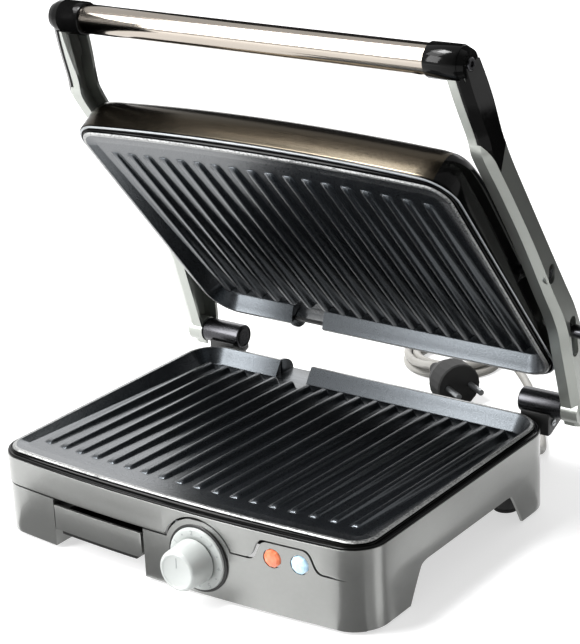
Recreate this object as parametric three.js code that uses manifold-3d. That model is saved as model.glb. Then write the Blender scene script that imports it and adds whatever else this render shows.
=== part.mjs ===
// Electric contact grill with a hinged, floating lid, shown open.
// Millimetres, +Z up, front towards -Y. The lid is modelled closed and then swung open.
import * as THREE from "three";
import { mergeVertices } from "three/addons/utils/BufferGeometryUtils.js";
import Module from "manifold-3d";

const wasm = await Module();
wasm.setup();

// Driving dimensions

const gap = 0.3; // between pieces that touch
const over = 5; // overrun of a cutter past what it cuts
const eps = 0.05; // overlap that fuses two pieces of one solid
const nip = 1; // small rounding of an edge

const plate = {
  half: 149, // half width over the lip
  front: 112.5, // lip in front, at its corners
  rear: 114,
  bow: 6.6, // the lip's front swells forward by this in the middle
  cornerFront: 15,
  cornerRear: 24,
  lipTop: 62,
  lip: 1.6, // thickness of the lip
  lipWidth: 4,
  wallOut: 3.2, // outer face of the wall, inside the lip's edge
  wallSlope: 3, // the wall leans in by this from lip to floor
  skin: 3.2,
  floorFront: 1.6, // the floor lies this far below the lip at the ribs' front ends
  floorRear: 10.5,
  ribCount: 18,
  ribAside: 21.5, // from the lip's side to the outermost rib
  ribAhead: 21.7, // from the lip's front to the ribs' ends
  ribFront: 0.1, // the crests lie this far below the lip
  ribRear: 4.4,
  ribFoot: 3.9,
  ribCrest: 1.5,
  ribSide: 2.7,
  ribShoulder: 0.8,
  ribEnd: 5,
  notchCheek: 12, // radius of the curved left cheek
  notchFloor: 0.6, // above the floor of the plate
};
plate.ribPitch = (2 * (plate.half - plate.ribAside)) / (plate.ribCount - 1);
plate.ribHalfLength = plate.front - plate.ribAhead;

// Places across the grill as shares of the plate's half width, from left to right
const acrossShares = {
  trayLeft: -0.659,
  notchLeft: -0.51,
  notchRight: -0.322,
  trayRight: -0.1315,
  dial: 0.1893,
  powerLamp: 0.5745,
  readyLamp: 0.7081,
};
const across = (place) => acrossShares[place] * plate.half;

// How a rib rises at its ends: share of the run, share of the height
const ribEndShares = [[0, 0.12], [0.3, 0.66], [1, 1]];

const rim = { side: 4.75, front: 4.1, rear: 3.5, top: 4 }; // from the plate's lip to the housing

const housing = {
  half: plate.half + rim.side,
  front: plate.front + rim.front,
  rear: plate.rear + rim.rear,
  bow: 9.2,
  cornerFront: 21,
  cornerRear: 29,
  top: plate.lipTop - rim.top,
  bottom: 2.2,
  wall: 2.2,
  topEdge: 1.2,
  opening: 2.6, // the top's opening is this far inside the plate's edge
  leg: 46.6, // the side arch starts this far behind the front corner
  legRear: 45.5,
  legBack: 55.75, // the rear arch stands this far inside the side
  archTop: 27.5,
  archSlope: 12,
};

const heater = { radius: 2.8, side: 42, front: 39, rear: 36, tail: 22, loop: 34, bend: 26, tray: 24, trayWall: 0.8, slack: 0.8 };

const bezel = { edge: 0.9, ridge: 1.6, groove: 0.9, under: 1.4, clear: 0.35, lean: 0.2, seat: 0.4, lap: 0.9 };

// Upper front band over the lower fascia
const band = { under: 21, proud: 1.2, side: 6.05, hidden: 4, turned: 14 };
band.bottom = housing.top - band.under;
band.end = housing.half - band.side;

const dial = {
  x: across("dial"),
  z: 27.5,
  arc: 27.1, // radius of the fascia's rise round the dial
  ring: 21.6,
  ringInner: 13.4,
  ringDepth: 2.6,
  ringEdge: 0.6,
  grip: 15.2,
  gripDepth: 22,
  gripEdge: 2.2,
  gripDraft: 1.2,
  rimWidth: 2.2,
  dish: 0.6, // the face is sunk inside its rim
  shaft: 3,
  slack: 1.2,
};

const thermostat = { back: 6, deep: 15.7, half: 17, tall: 13 };

const lamp = {
  x: [across("powerLamp"), across("readyLamp")],
  z: 41.2,
  radius: 6.3,
  dome: 2.4,
  body: 9,
  above: 10.2, // from a lamp's middle to the top of the fascia's rise
  before: 3.6, // the rise is level from this far left of the first lamp
  after: 1.5,
  foot: 15, // run of the rise's shoulders
};
lamp.rise = lamp.z + lamp.above;
lamp.riseLeft = lamp.x[0] - lamp.before;
lamp.riseRight = lamp.x[1] + lamp.after;

const tray = {
  left: across("trayLeft"),
  right: across("trayRight"),
  top: 4.2, // the panel ends this far under the band
  panelBottom: 15,
  panelCorner: 4,
  panelDepth: 2.2,
  seam: 2.4, // open slit to the fascia
  joint: 0.6, // to the leg's cover
  side: 5.5, // from the panel's edges to the box
  boxBottom: 12.5,
  boxTop: 26.4,
  rearIn: 2, // the box ends this far inside the plate's rear
  inset: 0.8,
  mouth: 5.4, // the panel's back to the hollow of the box
  brow: 6, // the panel's back to the flange
  wall: 1.4,
  flange: 2.6,
};
tray.panelTop = band.bottom - tray.top;
tray.boxRear = plate.rear - tray.rearIn;

const rail = { clear: 0.8, reach: 6.4, lip: 1.8, web: 1, front: 2, rear: 20 };

const cover = {
  under: 30, // from the housing's top
  thick: 2.2,
  back: 20.5, // behind the plate's front
  post: 9,
  side: 22.75,
  front: 32.5,
  rear: 26,
  drainHalf: 12,
  drainRear: 4,
  drainLong: 14,
};
cover.bottom = housing.top - cover.under;
cover.postX = housing.half - cover.side;
cover.posts = [-(plate.front - cover.front), plate.rear - cover.rear];

const foot = { radius: 9, pad: 2.6, spigot: 4 };

const hinge = {
  behind: 10.5, // axis behind the housing
  above: 4.8, // axis above the plate's lip
  radius: 9,
  proud: 2.55, // the barrel's outer end stands out past the housing
  long: 33.8,
  pin: 4,
  pinIn: 8.5, // from the barrel's inner end to the pin's
  recess: 2.4, // width of the end face's rim
  recessDeep: 0.8,
  bracketLow: 26, // from the lip down to the bracket's foot
  bracketIn: 3.5, // from the barrel's inner end to the bracket
  bracketLong: 22,
  bracketBack: 9.5,
  bracketFoot: 4,
  bracketHead: 2,
  boss: 9.5,
  bossGap: 0.5,
};
hinge.y = housing.rear + hinge.behind;
hinge.z = plate.lipTop + hinge.above;
hinge.outer = housing.half + hinge.proud;
hinge.inner = hinge.outer - hinge.long;

// The lid's pivot on the open arms, ahead of the hinge and above it
const pivot = { ahead: 46.9, rise: 114.6 };
pivot.y = hinge.y - pivot.ahead;
pivot.z = hinge.z + pivot.rise;

const arm = {
  room: 14.3, // from the barrel to the web's outer face
  web: 2.4,
  chamfer: 4,
  turn: 5.6, // the chamfer takes this much of the front face
  depth: 13.6, // from the outer face to the flanges' free edge
  lean: 6.4, // the top stands in by this
  leanShare: 0.65, // and starts to lean at this share of the run from pivot to handle
  inlay: 1, // thickness of the glossy inlay on the upper outer face
  tongue: 7.5, // half width of the web's tongue in the handle's cap
  pivotDeep: 5, // thickness behind the web at the lid's pivot
  pivotRim: 2,
};
arm.outer = hinge.outer + arm.room;
arm.shoulder = arm.outer - arm.turn;
arm.inner = arm.outer - arm.depth;

const handle = {
  ahead: 88.1, // of the pivot
  rise: 157.8,
  tube: 10,
  wall: 1.3,
  short: 20.7, // the tube ends this far inside the arm's flanges
  collar: 11.4,
  spigot: 8.3,
  screw: 2.4,
  head: 4.2,
  headHigh: 1.8,
  headEdge: 0.6,
  socket: 2.2,
  socketDeep: 2.4,
  hole: 2,
  holeLong: 3,
  holeIn: 5.5,
  holeTurn: 0.92, // radians from straight down to where the hole looks
};
handle.y = pivot.y - handle.ahead;
handle.z = pivot.z + handle.rise;
handle.half = arm.inner - handle.short;

// Places on the arm as shares of the run in y and in z between two axes
const between = (from, to) => ([y, z]) => [from.y + y * (to.y - from.y), from.z + z * (to.z - from.z)];
const onUpperArm = between(pivot, handle);
const onLowerArm = between(hinge, pivot);

// Front edge and rear edge of the arm, from the handle down to the pivot
const upperArmShares = [
  [[1.1090, 1.0019], [0.8797, 1.0114]],
  [[1.0624, 0.9101], [0.8115, 0.9227]],
  [[1.0011, 0.8156], [0.7538, 0.8294]],
  [[0.9137, 0.6946], [0.6902, 0.6977]],
  [[0.8774, 0.6230], [0.6413, 0.6349]],
  [[0.7844, 0.5463], [0.5403, 0.5424]],
  [[0.6356, 0.4347], [0.3961, 0.4221]],
  [[0.3121, 0.1743], [0.0873, 0.1654]],
];

// The same from the pivot down to the hinge
const lowerArmShares = [
  [[1.0276, 0.8716], [0.5927, 0.8830]],
  [[0.7570, 0.7017], [0.3434, 0.7347]],
  [[0.5907, 0.5690], [0.1494, 0.5828]],
  [[0.4988, 0.4469], [-0.0702, 0.4257]],
  [[0.3517, 0.2548], [-0.2260, 0.2287]],
  [[0.2110, 0.0663], [-0.2686, 0.0366]],
  [[0.0746, -0.0977], [-0.1960, -0.1117]],
];

// The inlay's lower edge: on the front chamfer, at its pointed tip and at the rear
const inlayShares = { front: [0.8978, 0.6692], tip: [0.7276, 0.5425], rear: [0.6481, 0.6692] };
const slotShares = [0.3369, 0.5288];
const armStations = [
  ...upperArmShares.map((row) => row.map(onUpperArm)),
  ...lowerArmShares.map((row) => row.map(onLowerArm)),
];

const lid = {
  openDeg: 50.76, // how far the lid stands open
  pinY: 9.4, // pivot in the closed lid
  pinUp: 20.3, // above the lid's lower edge
  pin: 3.6,
  boss: 7,
  float: 3, // half travel of the pivot in the arm's oval hole
  joint: 0.6, // between the two lips when closed
  lift: 4.6, // lower edge of the lid over the lower plate's lip
  side: 4.4, // from the plate's lip to the lid's side
  draft: 3.4, // the sides lean in by this to the top
  capWidth: 12.4, // the steel cover ends this far inside the lid's side
  ahead: 4.1,
  astern: 2.5,
  bow: 9.2,
  cornerFront: 20,
  cornerRear: 28,
  edge: 9, // rounding of the sides into the top
  lastShare: 0.92, // the cap's outermost section is lowered by this
  steel: 1.2,
  shell: 2.4,
  frame: 3.4, // the inner frame stands this far inside the outline
  // outline from the lower front edge over the top to the lower rear edge: y from front, middle or rear, and height
  rise: [[0, 0], [0.6, 8.4], [2.2, 17.9], [6.5, 24.9], [13.5, 29.2], [25, 31.8]],
  ridge: [[-60, 34.6], [-20, 35.8], [20, 34.4], [55, 30.4]],
  fall: [[-32, 24.4], [-16, 21], [-6.5, 16.9], [-1.5, 9.9], [0, 0]],
};
lid.low = plate.lipTop + lid.lift;
lid.pinZ = lid.low + lid.pinUp;
lid.half = plate.half + lid.side;
lid.top = lid.half - lid.draft;
lid.cap = lid.half - lid.capWidth;
lid.front = plate.front + lid.ahead;
lid.rear = plate.rear + lid.astern;

// Sections of the steel cover and of its end caps, as shares
const coverShares = [-1, -0.94, -0.75, -0.5, -0.25, 0, 0.25, 0.5, 0.75, 0.94, 1];
const capShares = [0.6, 0.25, 0.05, 0];

const lock = { tiltDeg: 10.8, half: 15.5, width: 8, at: 4.3, knob: 5.6, collar: 4.6, flange: 2, neck: 2.1, out: 17.4 };
[lock.y, lock.z] = onLowerArm(slotShares);
lock.reach = arm.outer + lock.out;

const cord = {
  radius: 3.25,
  exitIn: 41.75, // from the housing's side to the cord's exit
  exitZ: 15,
  neck: 4.2,
  relief: 30,
  root: 7.5, // radius of the relief's flange
  rootLong: 2.5,
  tail: 6,
  inside: 4,
  pitch: 7.2, // between turns, and between layers
  turnsIn: 1.75,
  turnsClimb: 0.5,
  turnsOut: 1.28,
  inner: 29.8,
  dipShare: 0.18, // the climbing half turn draws in by this share of the pitch
  straight: 6.5,
  rest: 0.2, // slack under the cord on the floor
  ahead: 26, // straight run into the coil
};
cord.exitX = housing.half - cord.exitIn;

// The cord's fall behind the relief: share of the run sideways, share of the run back, share of the height kept
const drop = { length: 42, aside: 9 };
const dropShares = [[0, 0, 1], [0, 0.17, 0.96], [0.07, 0.38, 0.69], [0.33, 0.67, 0.15], [1, 1, 0]];
const sweepShares = { first: 0.42, last: 0.3, steps: 5 };

const plug = {
  x: -26,
  behind: 130, // behind the housing
  z: 18.4,
  turnDeg: -32.7,
  radius: 18,
  length: 44,
  pin: 2.4,
  pinLong: 19,
  pinHalf: 9.5,
  tail: 44,
};
plug.y = housing.rear + plug.behind;

// The plug's outline from the cord to its rim: share of the length, share of the radius
const plugShares = [[0, 0.256], [0.295, 0.356], [0.386, 0.722], [0.545, 0.889], [0.636, 1]];

// Solids and meshes

// Turns a closed three.js geometry into a solid that can be cut and joined.
function solid(geometry) {
  const bare = geometry.clone();
  bare.deleteAttribute("normal");
  bare.deleteAttribute("uv");
  const merged = mergeVertices(bare, 1e-4);
  const made = new wasm.Manifold(
    new wasm.Mesh({
      numProp: 3,
      vertProperties: merged.attributes.position.array,
      triVerts: new Uint32Array(merged.index.array),
    }),
  );
  return made;
}

// Turns a solid back into a three.js geometry.
function geometryOf(made) {
  const mesh = made.getMesh();
  const geometry = new THREE.BufferGeometry();
  geometry.setAttribute("position", new THREE.BufferAttribute(new Float32Array(mesh.vertProperties), 3));
  geometry.setIndex(new THREE.BufferAttribute(new Uint32Array(mesh.triVerts), 1));
  const flat = geometry.toNonIndexed();
  flat.computeVertexNormals();
  return flat;
}

// Closed surface from rings of equal length, with both ends capped or the last ring joined to the first.
function loft(rings, { closed = false } = {}) {
  const n = rings[0].length;
  const positions = rings.flat().flatMap((p) => [p.x, p.y, p.z]);
  const index = [];
  const last = closed ? rings.length : rings.length - 1;
  for (let r = 0; r < last; r++)
    for (let i = 0; i < n; i++) {
      const a = r * n + i;
      const b = r * n + ((i + 1) % n);
      const c = ((r + 1) % rings.length) * n + i;
      const d = ((r + 1) % rings.length) * n + ((i + 1) % n);
      index.push(a, b, d, a, d, c);
    }
  if (!closed) {
    const capOf = (ring, base, flip) => {
      const normal = ringNormal(ring);
      const flat = flatten(ring, normal);
      const reversed = THREE.ShapeUtils.isClockWise(flat);
      const faces = THREE.ShapeUtils.triangulateShape(flat, []);
      for (const [a, b, c] of faces) {
        if (flip !== reversed) index.push(base + a, base + c, base + b);
        else index.push(base + a, base + b, base + c);
      }
    };
    capOf(rings[0], 0, true);
    capOf(rings[rings.length - 1], (rings.length - 1) * n, false);
  }
  const geometry = new THREE.BufferGeometry();
  geometry.setAttribute("position", new THREE.Float32BufferAttribute(positions, 3));
  geometry.setIndex(index);
  return facingOut(geometry);
}

function ringNormal(ring) {
  const normal = new THREE.Vector3();
  ring.forEach((p, i) => {
    const q = ring[(i + 1) % ring.length];
    normal.x += (p.y - q.y) * (p.z + q.z);
    normal.y += (p.z - q.z) * (p.x + q.x);
    normal.z += (p.x - q.x) * (p.y + q.y);
  });
  return normal.normalize();
}

function flatten(ring, normal) {
  const side = Math.abs(normal.z) > 0.9 ? new THREE.Vector3(1, 0, 0) : new THREE.Vector3(0, 0, 1);
  const u = side.clone().cross(normal).normalize();
  const v = normal.clone().cross(u);
  return ring.map((p) => new THREE.Vector2(p.dot(u), p.dot(v)));
}

// Turns a closed surface the right way out.
function facingOut(geometry) {
  const p = geometry.attributes.position;
  const index = geometry.index.array;
  let volume = 0;
  const a = new THREE.Vector3();
  const b = new THREE.Vector3();
  const c = new THREE.Vector3();
  for (let i = 0; i < index.length; i += 3) {
    a.fromBufferAttribute(p, index[i]);
    b.fromBufferAttribute(p, index[i + 1]);
    c.fromBufferAttribute(p, index[i + 2]);
    volume += a.dot(b.cross(c));
  }
  if (volume < 0)
    for (let i = 0; i < index.length; i += 3) [index[i + 1], index[i + 2]] = [index[i + 2], index[i + 1]];
  return geometry;
}

// Outline of the grill seen from above: round corners and a front that bows forward.
function plan(size, inset, height) {
  const w = size.half - inset;
  const front = -size.front + inset;
  const rear = size.rear - inset;
  const rf = Math.max(size.cornerFront - inset, nip);
  const rr = Math.max(size.cornerRear - inset, nip);
  const points = [];
  const corner = (cx, cy, r, from, steps) => {
    for (let i = 0; i <= steps; i++) {
      const t = from + (i / steps) * (Math.PI / 2);
      points.push([cx + r * Math.cos(t), cy + r * Math.sin(t)]);
    }
  };
  corner(-w + rf, front + rf, rf, Math.PI, 4);
  const straight = 8;
  for (let i = 1; i < straight; i++) points.push([-w + rf + (2 * (w - rf) * i) / straight, front]);
  corner(w - rf, front + rf, rf, -Math.PI / 2, 4);
  corner(w - rr, rear - rr, rr, 0, 5);
  corner(-w + rr, rear - rr, rr, Math.PI / 2, 5);
  return points.map(([x, y]) => {
    const swell = y < front + rf ? size.bow * (1 - (x / w) ** 2) * Math.min(1, (front + rf - y) / rf) : 0;
    const z = typeof height === "function" ? height(y) : height;
    return new THREE.Vector3(x, y - swell, z);
  });
}

const stack = (size, rows) => loft(rows.map(([inset, z]) => plan(size, inset, z)));
const ringOf = (rows) => loft(rows.map(([size, inset, z]) => plan(size, inset, z)), { closed: true });

const box = (x0, x1, y0, y1, z0, z1) =>
  new THREE.BoxGeometry(x1 - x0, y1 - y0, z1 - z0).translate((x0 + x1) / 2, (y0 + y1) / 2, (z0 + z1) / 2);

// A round bar along X, Y or Z between two places.
function bar(axis, radius, from, to, a, b, sides = 20) {
  const geometry = new THREE.CylinderGeometry(radius, radius, to - from, sides);
  const middle = (from + to) / 2;
  if (axis === "x") return geometry.rotateZ(Math.PI / 2).translate(middle, a, b);
  if (axis === "y") return geometry.translate(a, middle, b);
  return geometry.rotateX(Math.PI / 2).translate(a, b, middle);
}

// A turned piece: the profile lists [along, radius], the axis starts at a place and points along X or Y.
function turned(axis, profile, at, sides = 24) {
  const points = profile.map(([along, radius]) => new THREE.Vector2(radius, along));
  const geometry = facingOut(mergedGeometry(new THREE.LatheGeometry(points, sides)));
  if (axis === "x") geometry.rotateZ(-Math.PI / 2);
  if (axis === "-x") geometry.rotateZ(Math.PI / 2);
  if (axis === "-y") geometry.rotateX(Math.PI);
  return geometry.translate(at[0], at[1], at[2]);
}

function mergedGeometry(geometry) {
  geometry.deleteAttribute("normal");
  geometry.deleteAttribute("uv");
  const merged = mergeVertices(geometry, 1e-4);
  const index = [...merged.index.array];
  const kept = [];
  for (let i = 0; i < index.length; i += 3) {
    const [a, b, c] = index.slice(i, i + 3);
    if (a !== b && b !== c && a !== c) kept.push(a, b, c);
  }
  merged.setIndex(kept);
  return merged;
}

// A slab whose outline lies in the XZ or YZ plane, pushed along the third axis.
function slabY(points, y0, y1) {
  const shape = new THREE.Shape(points.map(([x, z]) => new THREE.Vector2(x, z)));
  const geometry = new THREE.ExtrudeGeometry(shape, { depth: y1 - y0, bevelEnabled: false, curveSegments: 8 });
  return geometry.rotateX(Math.PI / 2).translate(0, y1, 0);
}

function slabX(points, x0, x1) {
  const shape = new THREE.Shape(points.map(([y, z]) => new THREE.Vector2(y, z)));
  const geometry = new THREE.ExtrudeGeometry(shape, { depth: x1 - x0, bevelEnabled: false, curveSegments: 8 });
  return geometry.rotateX(Math.PI / 2).rotateZ(Math.PI / 2).translate(x0, 0, 0);
}

const arcPoints = (cx, cy, r, from, to, steps) =>
  Array.from({ length: steps + 1 }, (_, i) => {
    const t = from + ((to - from) * i) / steps;
    return [cx + r * Math.cos(t), cy + r * Math.sin(t)];
  });

const mirrorX = (made) => made.mirror([1, 0, 0]);

// Cooking plates

const floorAt = (y) => {
  const share = (y + plate.ribHalfLength) / (2 * plate.ribHalfLength);
  return plate.lipTop - plate.floorFront - (plate.floorRear - plate.floorFront) * share;
};
const crestAt = (y) => {
  const share = (y + plate.ribHalfLength) / (2 * plate.ribHalfLength);
  return plate.lipTop - plate.ribFront - (plate.ribRear - plate.ribFront) * share;
};

const under = (y) => floorAt(y) - plate.skin;

// One rib: a rounded ridge that fades out at both ends.
function rib(x) {
  const front = -plate.ribHalfLength - plate.bow * (1 - (x / (plate.half - plate.cornerFront)) ** 2);
  const rear = plate.ribHalfLength;
  const station = (y, grow) => {
    const low = floorAt(y) - plate.ribShoulder;
    const high = floorAt(y) + (crestAt(y) - floorAt(y)) * grow;
    const side = high - plate.ribShoulder * grow;
    const spread = (1 + grow) / 2;
    return [
      [-plate.ribFoot * spread, low],
      [-plate.ribSide * spread, side],
      [-plate.ribCrest * spread, high],
      [plate.ribCrest * spread, high],
      [plate.ribSide * spread, side],
      [plate.ribFoot * spread, low],
    ].map(([dx, z]) => new THREE.Vector3(x + dx, y, z));
  };
  const end = plate.ribEnd;
  return loft([
    ...ribEndShares.map(([run, grow]) => station(front + run * end, grow)),
    ...ribEndShares.map(([run, grow]) => station(rear - run * end, grow)).reverse(),
  ]);
}

// A cast plate: lip all round, walls down to a floor that falls towards the rear, ribs and a drain notch.
function castPlate() {
  const inner = plate.lipWidth + plate.wallSlope;
  let made = solid(
    stack(plate, [
      [inner + plate.skin, under],
      [plate.wallOut + nip, under],
      [plate.wallOut, (y) => under(y) + nip],
      [plate.wallOut, plate.lipTop - plate.lip],
      [0, plate.lipTop - plate.lip],
      [0, plate.lipTop - plate.lip / 3],
      [plate.lip / 3, plate.lipTop],
      [plate.lipWidth, plate.lipTop],
      [inner, (y) => Math.min(floorAt(y), plate.lipTop - eps)],
    ]),
  );
  const first = -((plate.ribCount - 1) / 2) * plate.ribPitch;
  for (let i = 0; i < plate.ribCount; i++) made = made.add(solid(rib(first + i * plate.ribPitch)));
  const bottom = floorAt(plate.rear) + plate.notchFloor;
  const cheek = arcPoints(
    across("notchLeft") + plate.notchCheek,
    plate.lipTop + nip,
    plate.notchCheek,
    Math.PI,
    1.5 * Math.PI,
    5,
  );
  const notch = [
    ...cheek.map(([x, z]) => [x, Math.max(z, bottom)]),
    [across("notchRight"), bottom],
    [across("notchRight"), plate.lipTop + over],
    [across("notchLeft"), plate.lipTop + over],
  ];
  return made.subtract(solid(slabY(notch, plate.rear - plate.lipWidth - plate.wallSlope - nip, plate.rear + over)));
}

// A round tube along a hand-laid path.
function tube(points, radius, steps, sides) {
  const path = new THREE.CatmullRomCurve3(points.map((p) => new THREE.Vector3(...p)));
  const shape = new THREE.Shape(
    Array.from({ length: sides }, (_, i) => {
      const t = (2 * Math.PI * i) / sides;
      return new THREE.Vector2(radius * Math.cos(t), radius * Math.sin(t));
    }),
  );
  return new THREE.ExtrudeGeometry(shape, { steps, extrudePath: path, bevelEnabled: false });
}

// A sheathed element bent in a loop under the ribs, with both tails at the rear.
function heaterLoop() {
  const w = plate.half - heater.side;
  const front = -plate.front + heater.front;
  const rear = plate.rear - heater.rear;
  const turn = heater.bend / 2;
  const inner = w - heater.loop;
  const side = inner - heater.tail;
  const half = [
    [side, rear + turn],
    [side, rear - heater.bend],
    [side, front + 2 * heater.bend],
    [inner, front + heater.bend],
    [w - turn, front + heater.bend],
    [w, front],
    [w - heater.bend, front - turn],
  ];
  const points = [...half, [0, front - turn], ...half.map(([x, y]) => [-x, y]).reverse()];
  return tube(points.map(([x, y]) => [x, y, under(y) - heater.radius - gap]), heater.radius, 28, 6);
}

// A shallow tray under the element, its rim close to the plate, with two notches for the tails.
function reflector() {
  const low = (y) => under(y) - 2 * heater.radius - 2 * gap - heater.slack - heater.trayWall;
  const t = heater.trayWall;
  const made = solid(
    stack(plate, [
      [heater.tray + t, low],
      [heater.tray, (y) => low(y) + t],
      [heater.tray, (y) => under(y) - gap],
      [heater.tray + t, (y) => under(y) - gap],
      [heater.tray + 2 * t, (y) => low(y) + t],
    ]),
  );
  const side = plate.half - heater.side - heater.loop - heater.tail;
  const room = heater.radius + 2 * gap;
  const z0 = under(plate.rear - heater.tray) - 2 * room;
  const notch = (x) => solid(box(x - room, x + room, plate.rear - heater.tray - over, plate.rear - heater.tray + over, z0, z0 + over * over));
  return made.subtract(notch(-side)).subtract(notch(side));
}

// Trim ring between the housing's top and the plate's lip, with a groove round it.
const lipUnder = plate.lipTop - plate.lip;
const trimRing = () =>
  ringOf([
    [housing, bezel.edge, housing.top + gap],
    [housing, bezel.edge + bezel.lean, housing.top + gap + bezel.groove],
    [housing, bezel.edge + bezel.ridge, housing.top + gap + bezel.groove + bezel.lean],
    [housing, bezel.edge + bezel.ridge + bezel.seat, housing.top + bezel.groove],
    [plate, -bezel.lap, housing.top + gap + bezel.groove],
    [plate, -bezel.seat, lipUnder - bezel.clear],
    [plate, bezel.under, lipUnder - bezel.clear],
    [plate, bezel.under, housing.top + gap],
  ]);

// Base

const housingOuter = [
  [0, housing.bottom],
  [0, housing.top - housing.topEdge],
  [housing.topEdge, housing.top],
];

// Outline of the lower fascia seen from the front, grown by a clearance.
function fasciaFront(grow, left, right) {
  const top = band.bottom + grow;
  const rise = lamp.rise + grow;
  const shoulder = (x0, x1, z0, z1) => {
    const curve = new THREE.CubicBezierCurve(
      new THREE.Vector2(x0, z0),
      new THREE.Vector2(x0 + 0.6 * (x1 - x0), z0),
      new THREE.Vector2(x1 - 0.6 * (x1 - x0), z1),
      new THREE.Vector2(x1, z1),
    );
    return curve.getPoints(6).map((p) => [p.x, p.y]);
  };
  const low = -over;
  const deep = -housing.front - housing.bow - over;
  const back = -housing.front + housing.cornerFront;
  let made = solid(
    slabY([[left - grow, low], [right + grow, low], [right + grow, top], [left - grow, top]], deep, back),
  );
  if (right > dial.x) {
    made = made.add(solid(bar("y", dial.arc + grow, deep, back, dial.x, dial.z, 40)));
    const lampRise = [
      [lamp.riseRight + lamp.foot, low / over],
      ...shoulder(lamp.riseRight + lamp.foot + grow, lamp.riseRight + grow, top - eps, rise),
      ...shoulder(lamp.riseLeft - grow, lamp.riseLeft - lamp.foot - grow, rise, top - eps),
      [lamp.riseLeft - lamp.foot, low / over],
    ];
    made = made.add(solid(slabY(lampRise, deep, back)));
  }
  return made;
}

function sideArch() {
  const { archTop, archSlope } = housing;
  const archFront = housing.front - housing.leg;
  const archRear = housing.rear - housing.legRear;
  const ease = 1.6 * archSlope;
  return solid(
    slabX(
      [
        [-archFront - archSlope / 3, -over],
        [-archFront, housing.bottom],
        [-archFront + archSlope, archTop - archSlope / 3],
        [-archFront + ease, archTop],
        [archRear - ease, archTop],
        [archRear - archSlope, archTop - archSlope / 3],
        [archRear, housing.bottom],
        [archRear + archSlope / 3, -over],
      ],
      -housing.half - over,
      housing.half + over,
    ),
  );
}

function rearArch() {
  const { archSlope, archTop, rear } = housing;
  const w = housing.half - housing.legBack;
  return solid(
    slabY(
      [
        [-w, -over],
        [w, -over],
        [w, housing.bottom],
        [w - archSlope, archTop],
        [-w + archSlope, archTop],
        [-w, housing.bottom],
      ],
      rear - housing.cornerRear,
      rear + over,
    ),
  );
}

function baseHousing() {
  const wall = housing.wall;
  let made = solid(stack(housing, housingOuter));
  made = made.subtract(solid(stack(housing, [[wall, -over], [wall, housing.top - wall]])));
  made = made.subtract(solid(stack(plate, [[housing.opening, housing.top - wall - over], [housing.opening, housing.top + over]])));
  made = made.subtract(fasciaFront(gap, -band.end, band.end));
  made = made.subtract(solid(bar("y", cord.neck + gap, housing.rear - over, housing.rear + over, cord.exitX, cord.exitZ, 16)));
  return made.subtract(sideArch()).subtract(rearArch());
}

// The lower front skin, set back under the band.
const fasciaSkin = () => {
  const outer = solid(stack(housing, [[band.proud, housing.bottom], [band.proud, housing.top - band.hidden]]));
  const inner = solid(stack(housing, [[band.proud + housing.wall, -over], [band.proud + housing.wall, housing.top + over]]));
  return outer.subtract(inner);
};

function frontFascia() {
  const left = tray.right + tray.seam;
  let made = fasciaSkin().intersect(fasciaFront(0, left, band.end));
  made = made.add(
    solid(box(left, left + housing.wall, frontFaceAt(left) + nip, -housing.front + band.turned, housing.bottom, band.bottom)),
  );
  made = made.subtract(solid(bar("y", dial.shaft + dial.slack, -housing.front - 2 * over - housing.bow, -housing.front + 2 * over, dial.x, dial.z)));
  for (const x of lamp.x)
    made = made.subtract(solid(bar("y", lamp.radius + gap, -housing.front - 2 * over - housing.bow, -housing.front + 2 * over, x, lamp.z, 24)));
  return made;
}

function legCover() {
  const right = tray.left - tray.joint;
  const made = fasciaSkin().intersect(fasciaFront(0, -band.end, right));
  return made.add(
    solid(box(right - housing.wall, right, frontFaceAt(right) + nip, -housing.front + band.turned, housing.bottom, band.bottom)),
  );
}

// Depth of the fascia's outer face at a place along the front.
const frontFaceAt = (x) => {
  const w = housing.half - band.proud;
  return -(housing.front - band.proud) - housing.bow * (1 - (x / w) ** 2);
};

function dripTray() {
  const skin = fasciaSkin();
  const c = tray.panelCorner;
  const outline = [
    [tray.left, tray.panelTop],
    [tray.left, tray.panelBottom],
    ...arcPoints(tray.right - c, tray.panelBottom + c, c, -Math.PI / 2, 0, 4),
    [tray.right, tray.panelTop],
  ];
  let made = skin.intersect(solid(slabY(outline, -housing.front - housing.bow - over, -housing.front + housing.cornerFront)));
  const x0 = tray.left + tray.side;
  const x1 = tray.right - tray.side;
  const front = frontFaceAt(tray.left) + tray.panelDepth / 2;
  const deep = frontFaceAt(tray.right) + tray.panelDepth / 2;
  const t = tray.wall;
  const bowl = solid(box(x0, x1, deep, tray.boxRear, tray.boxBottom, tray.boxTop))
    .subtract(solid(box(x0 + t, x1 - t, front + tray.mouth, tray.boxRear - t, tray.boxBottom + t, tray.boxTop + over)));
  const flange = solid(box(x0 - tray.flange, x1 + tray.flange, front + tray.brow, tray.boxRear, tray.boxTop - t, tray.boxTop))
    .subtract(solid(box(x0 + t, x1 - t, front, tray.boxRear - t, tray.boxBottom, tray.boxTop + over)));
  const overhang = solid(stack(housing, [[band.proud + tray.inset, 0], [band.proud + tray.inset, housing.top]]));
  return made.add(bowl.intersect(overhang)).add(flange);
}

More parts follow.
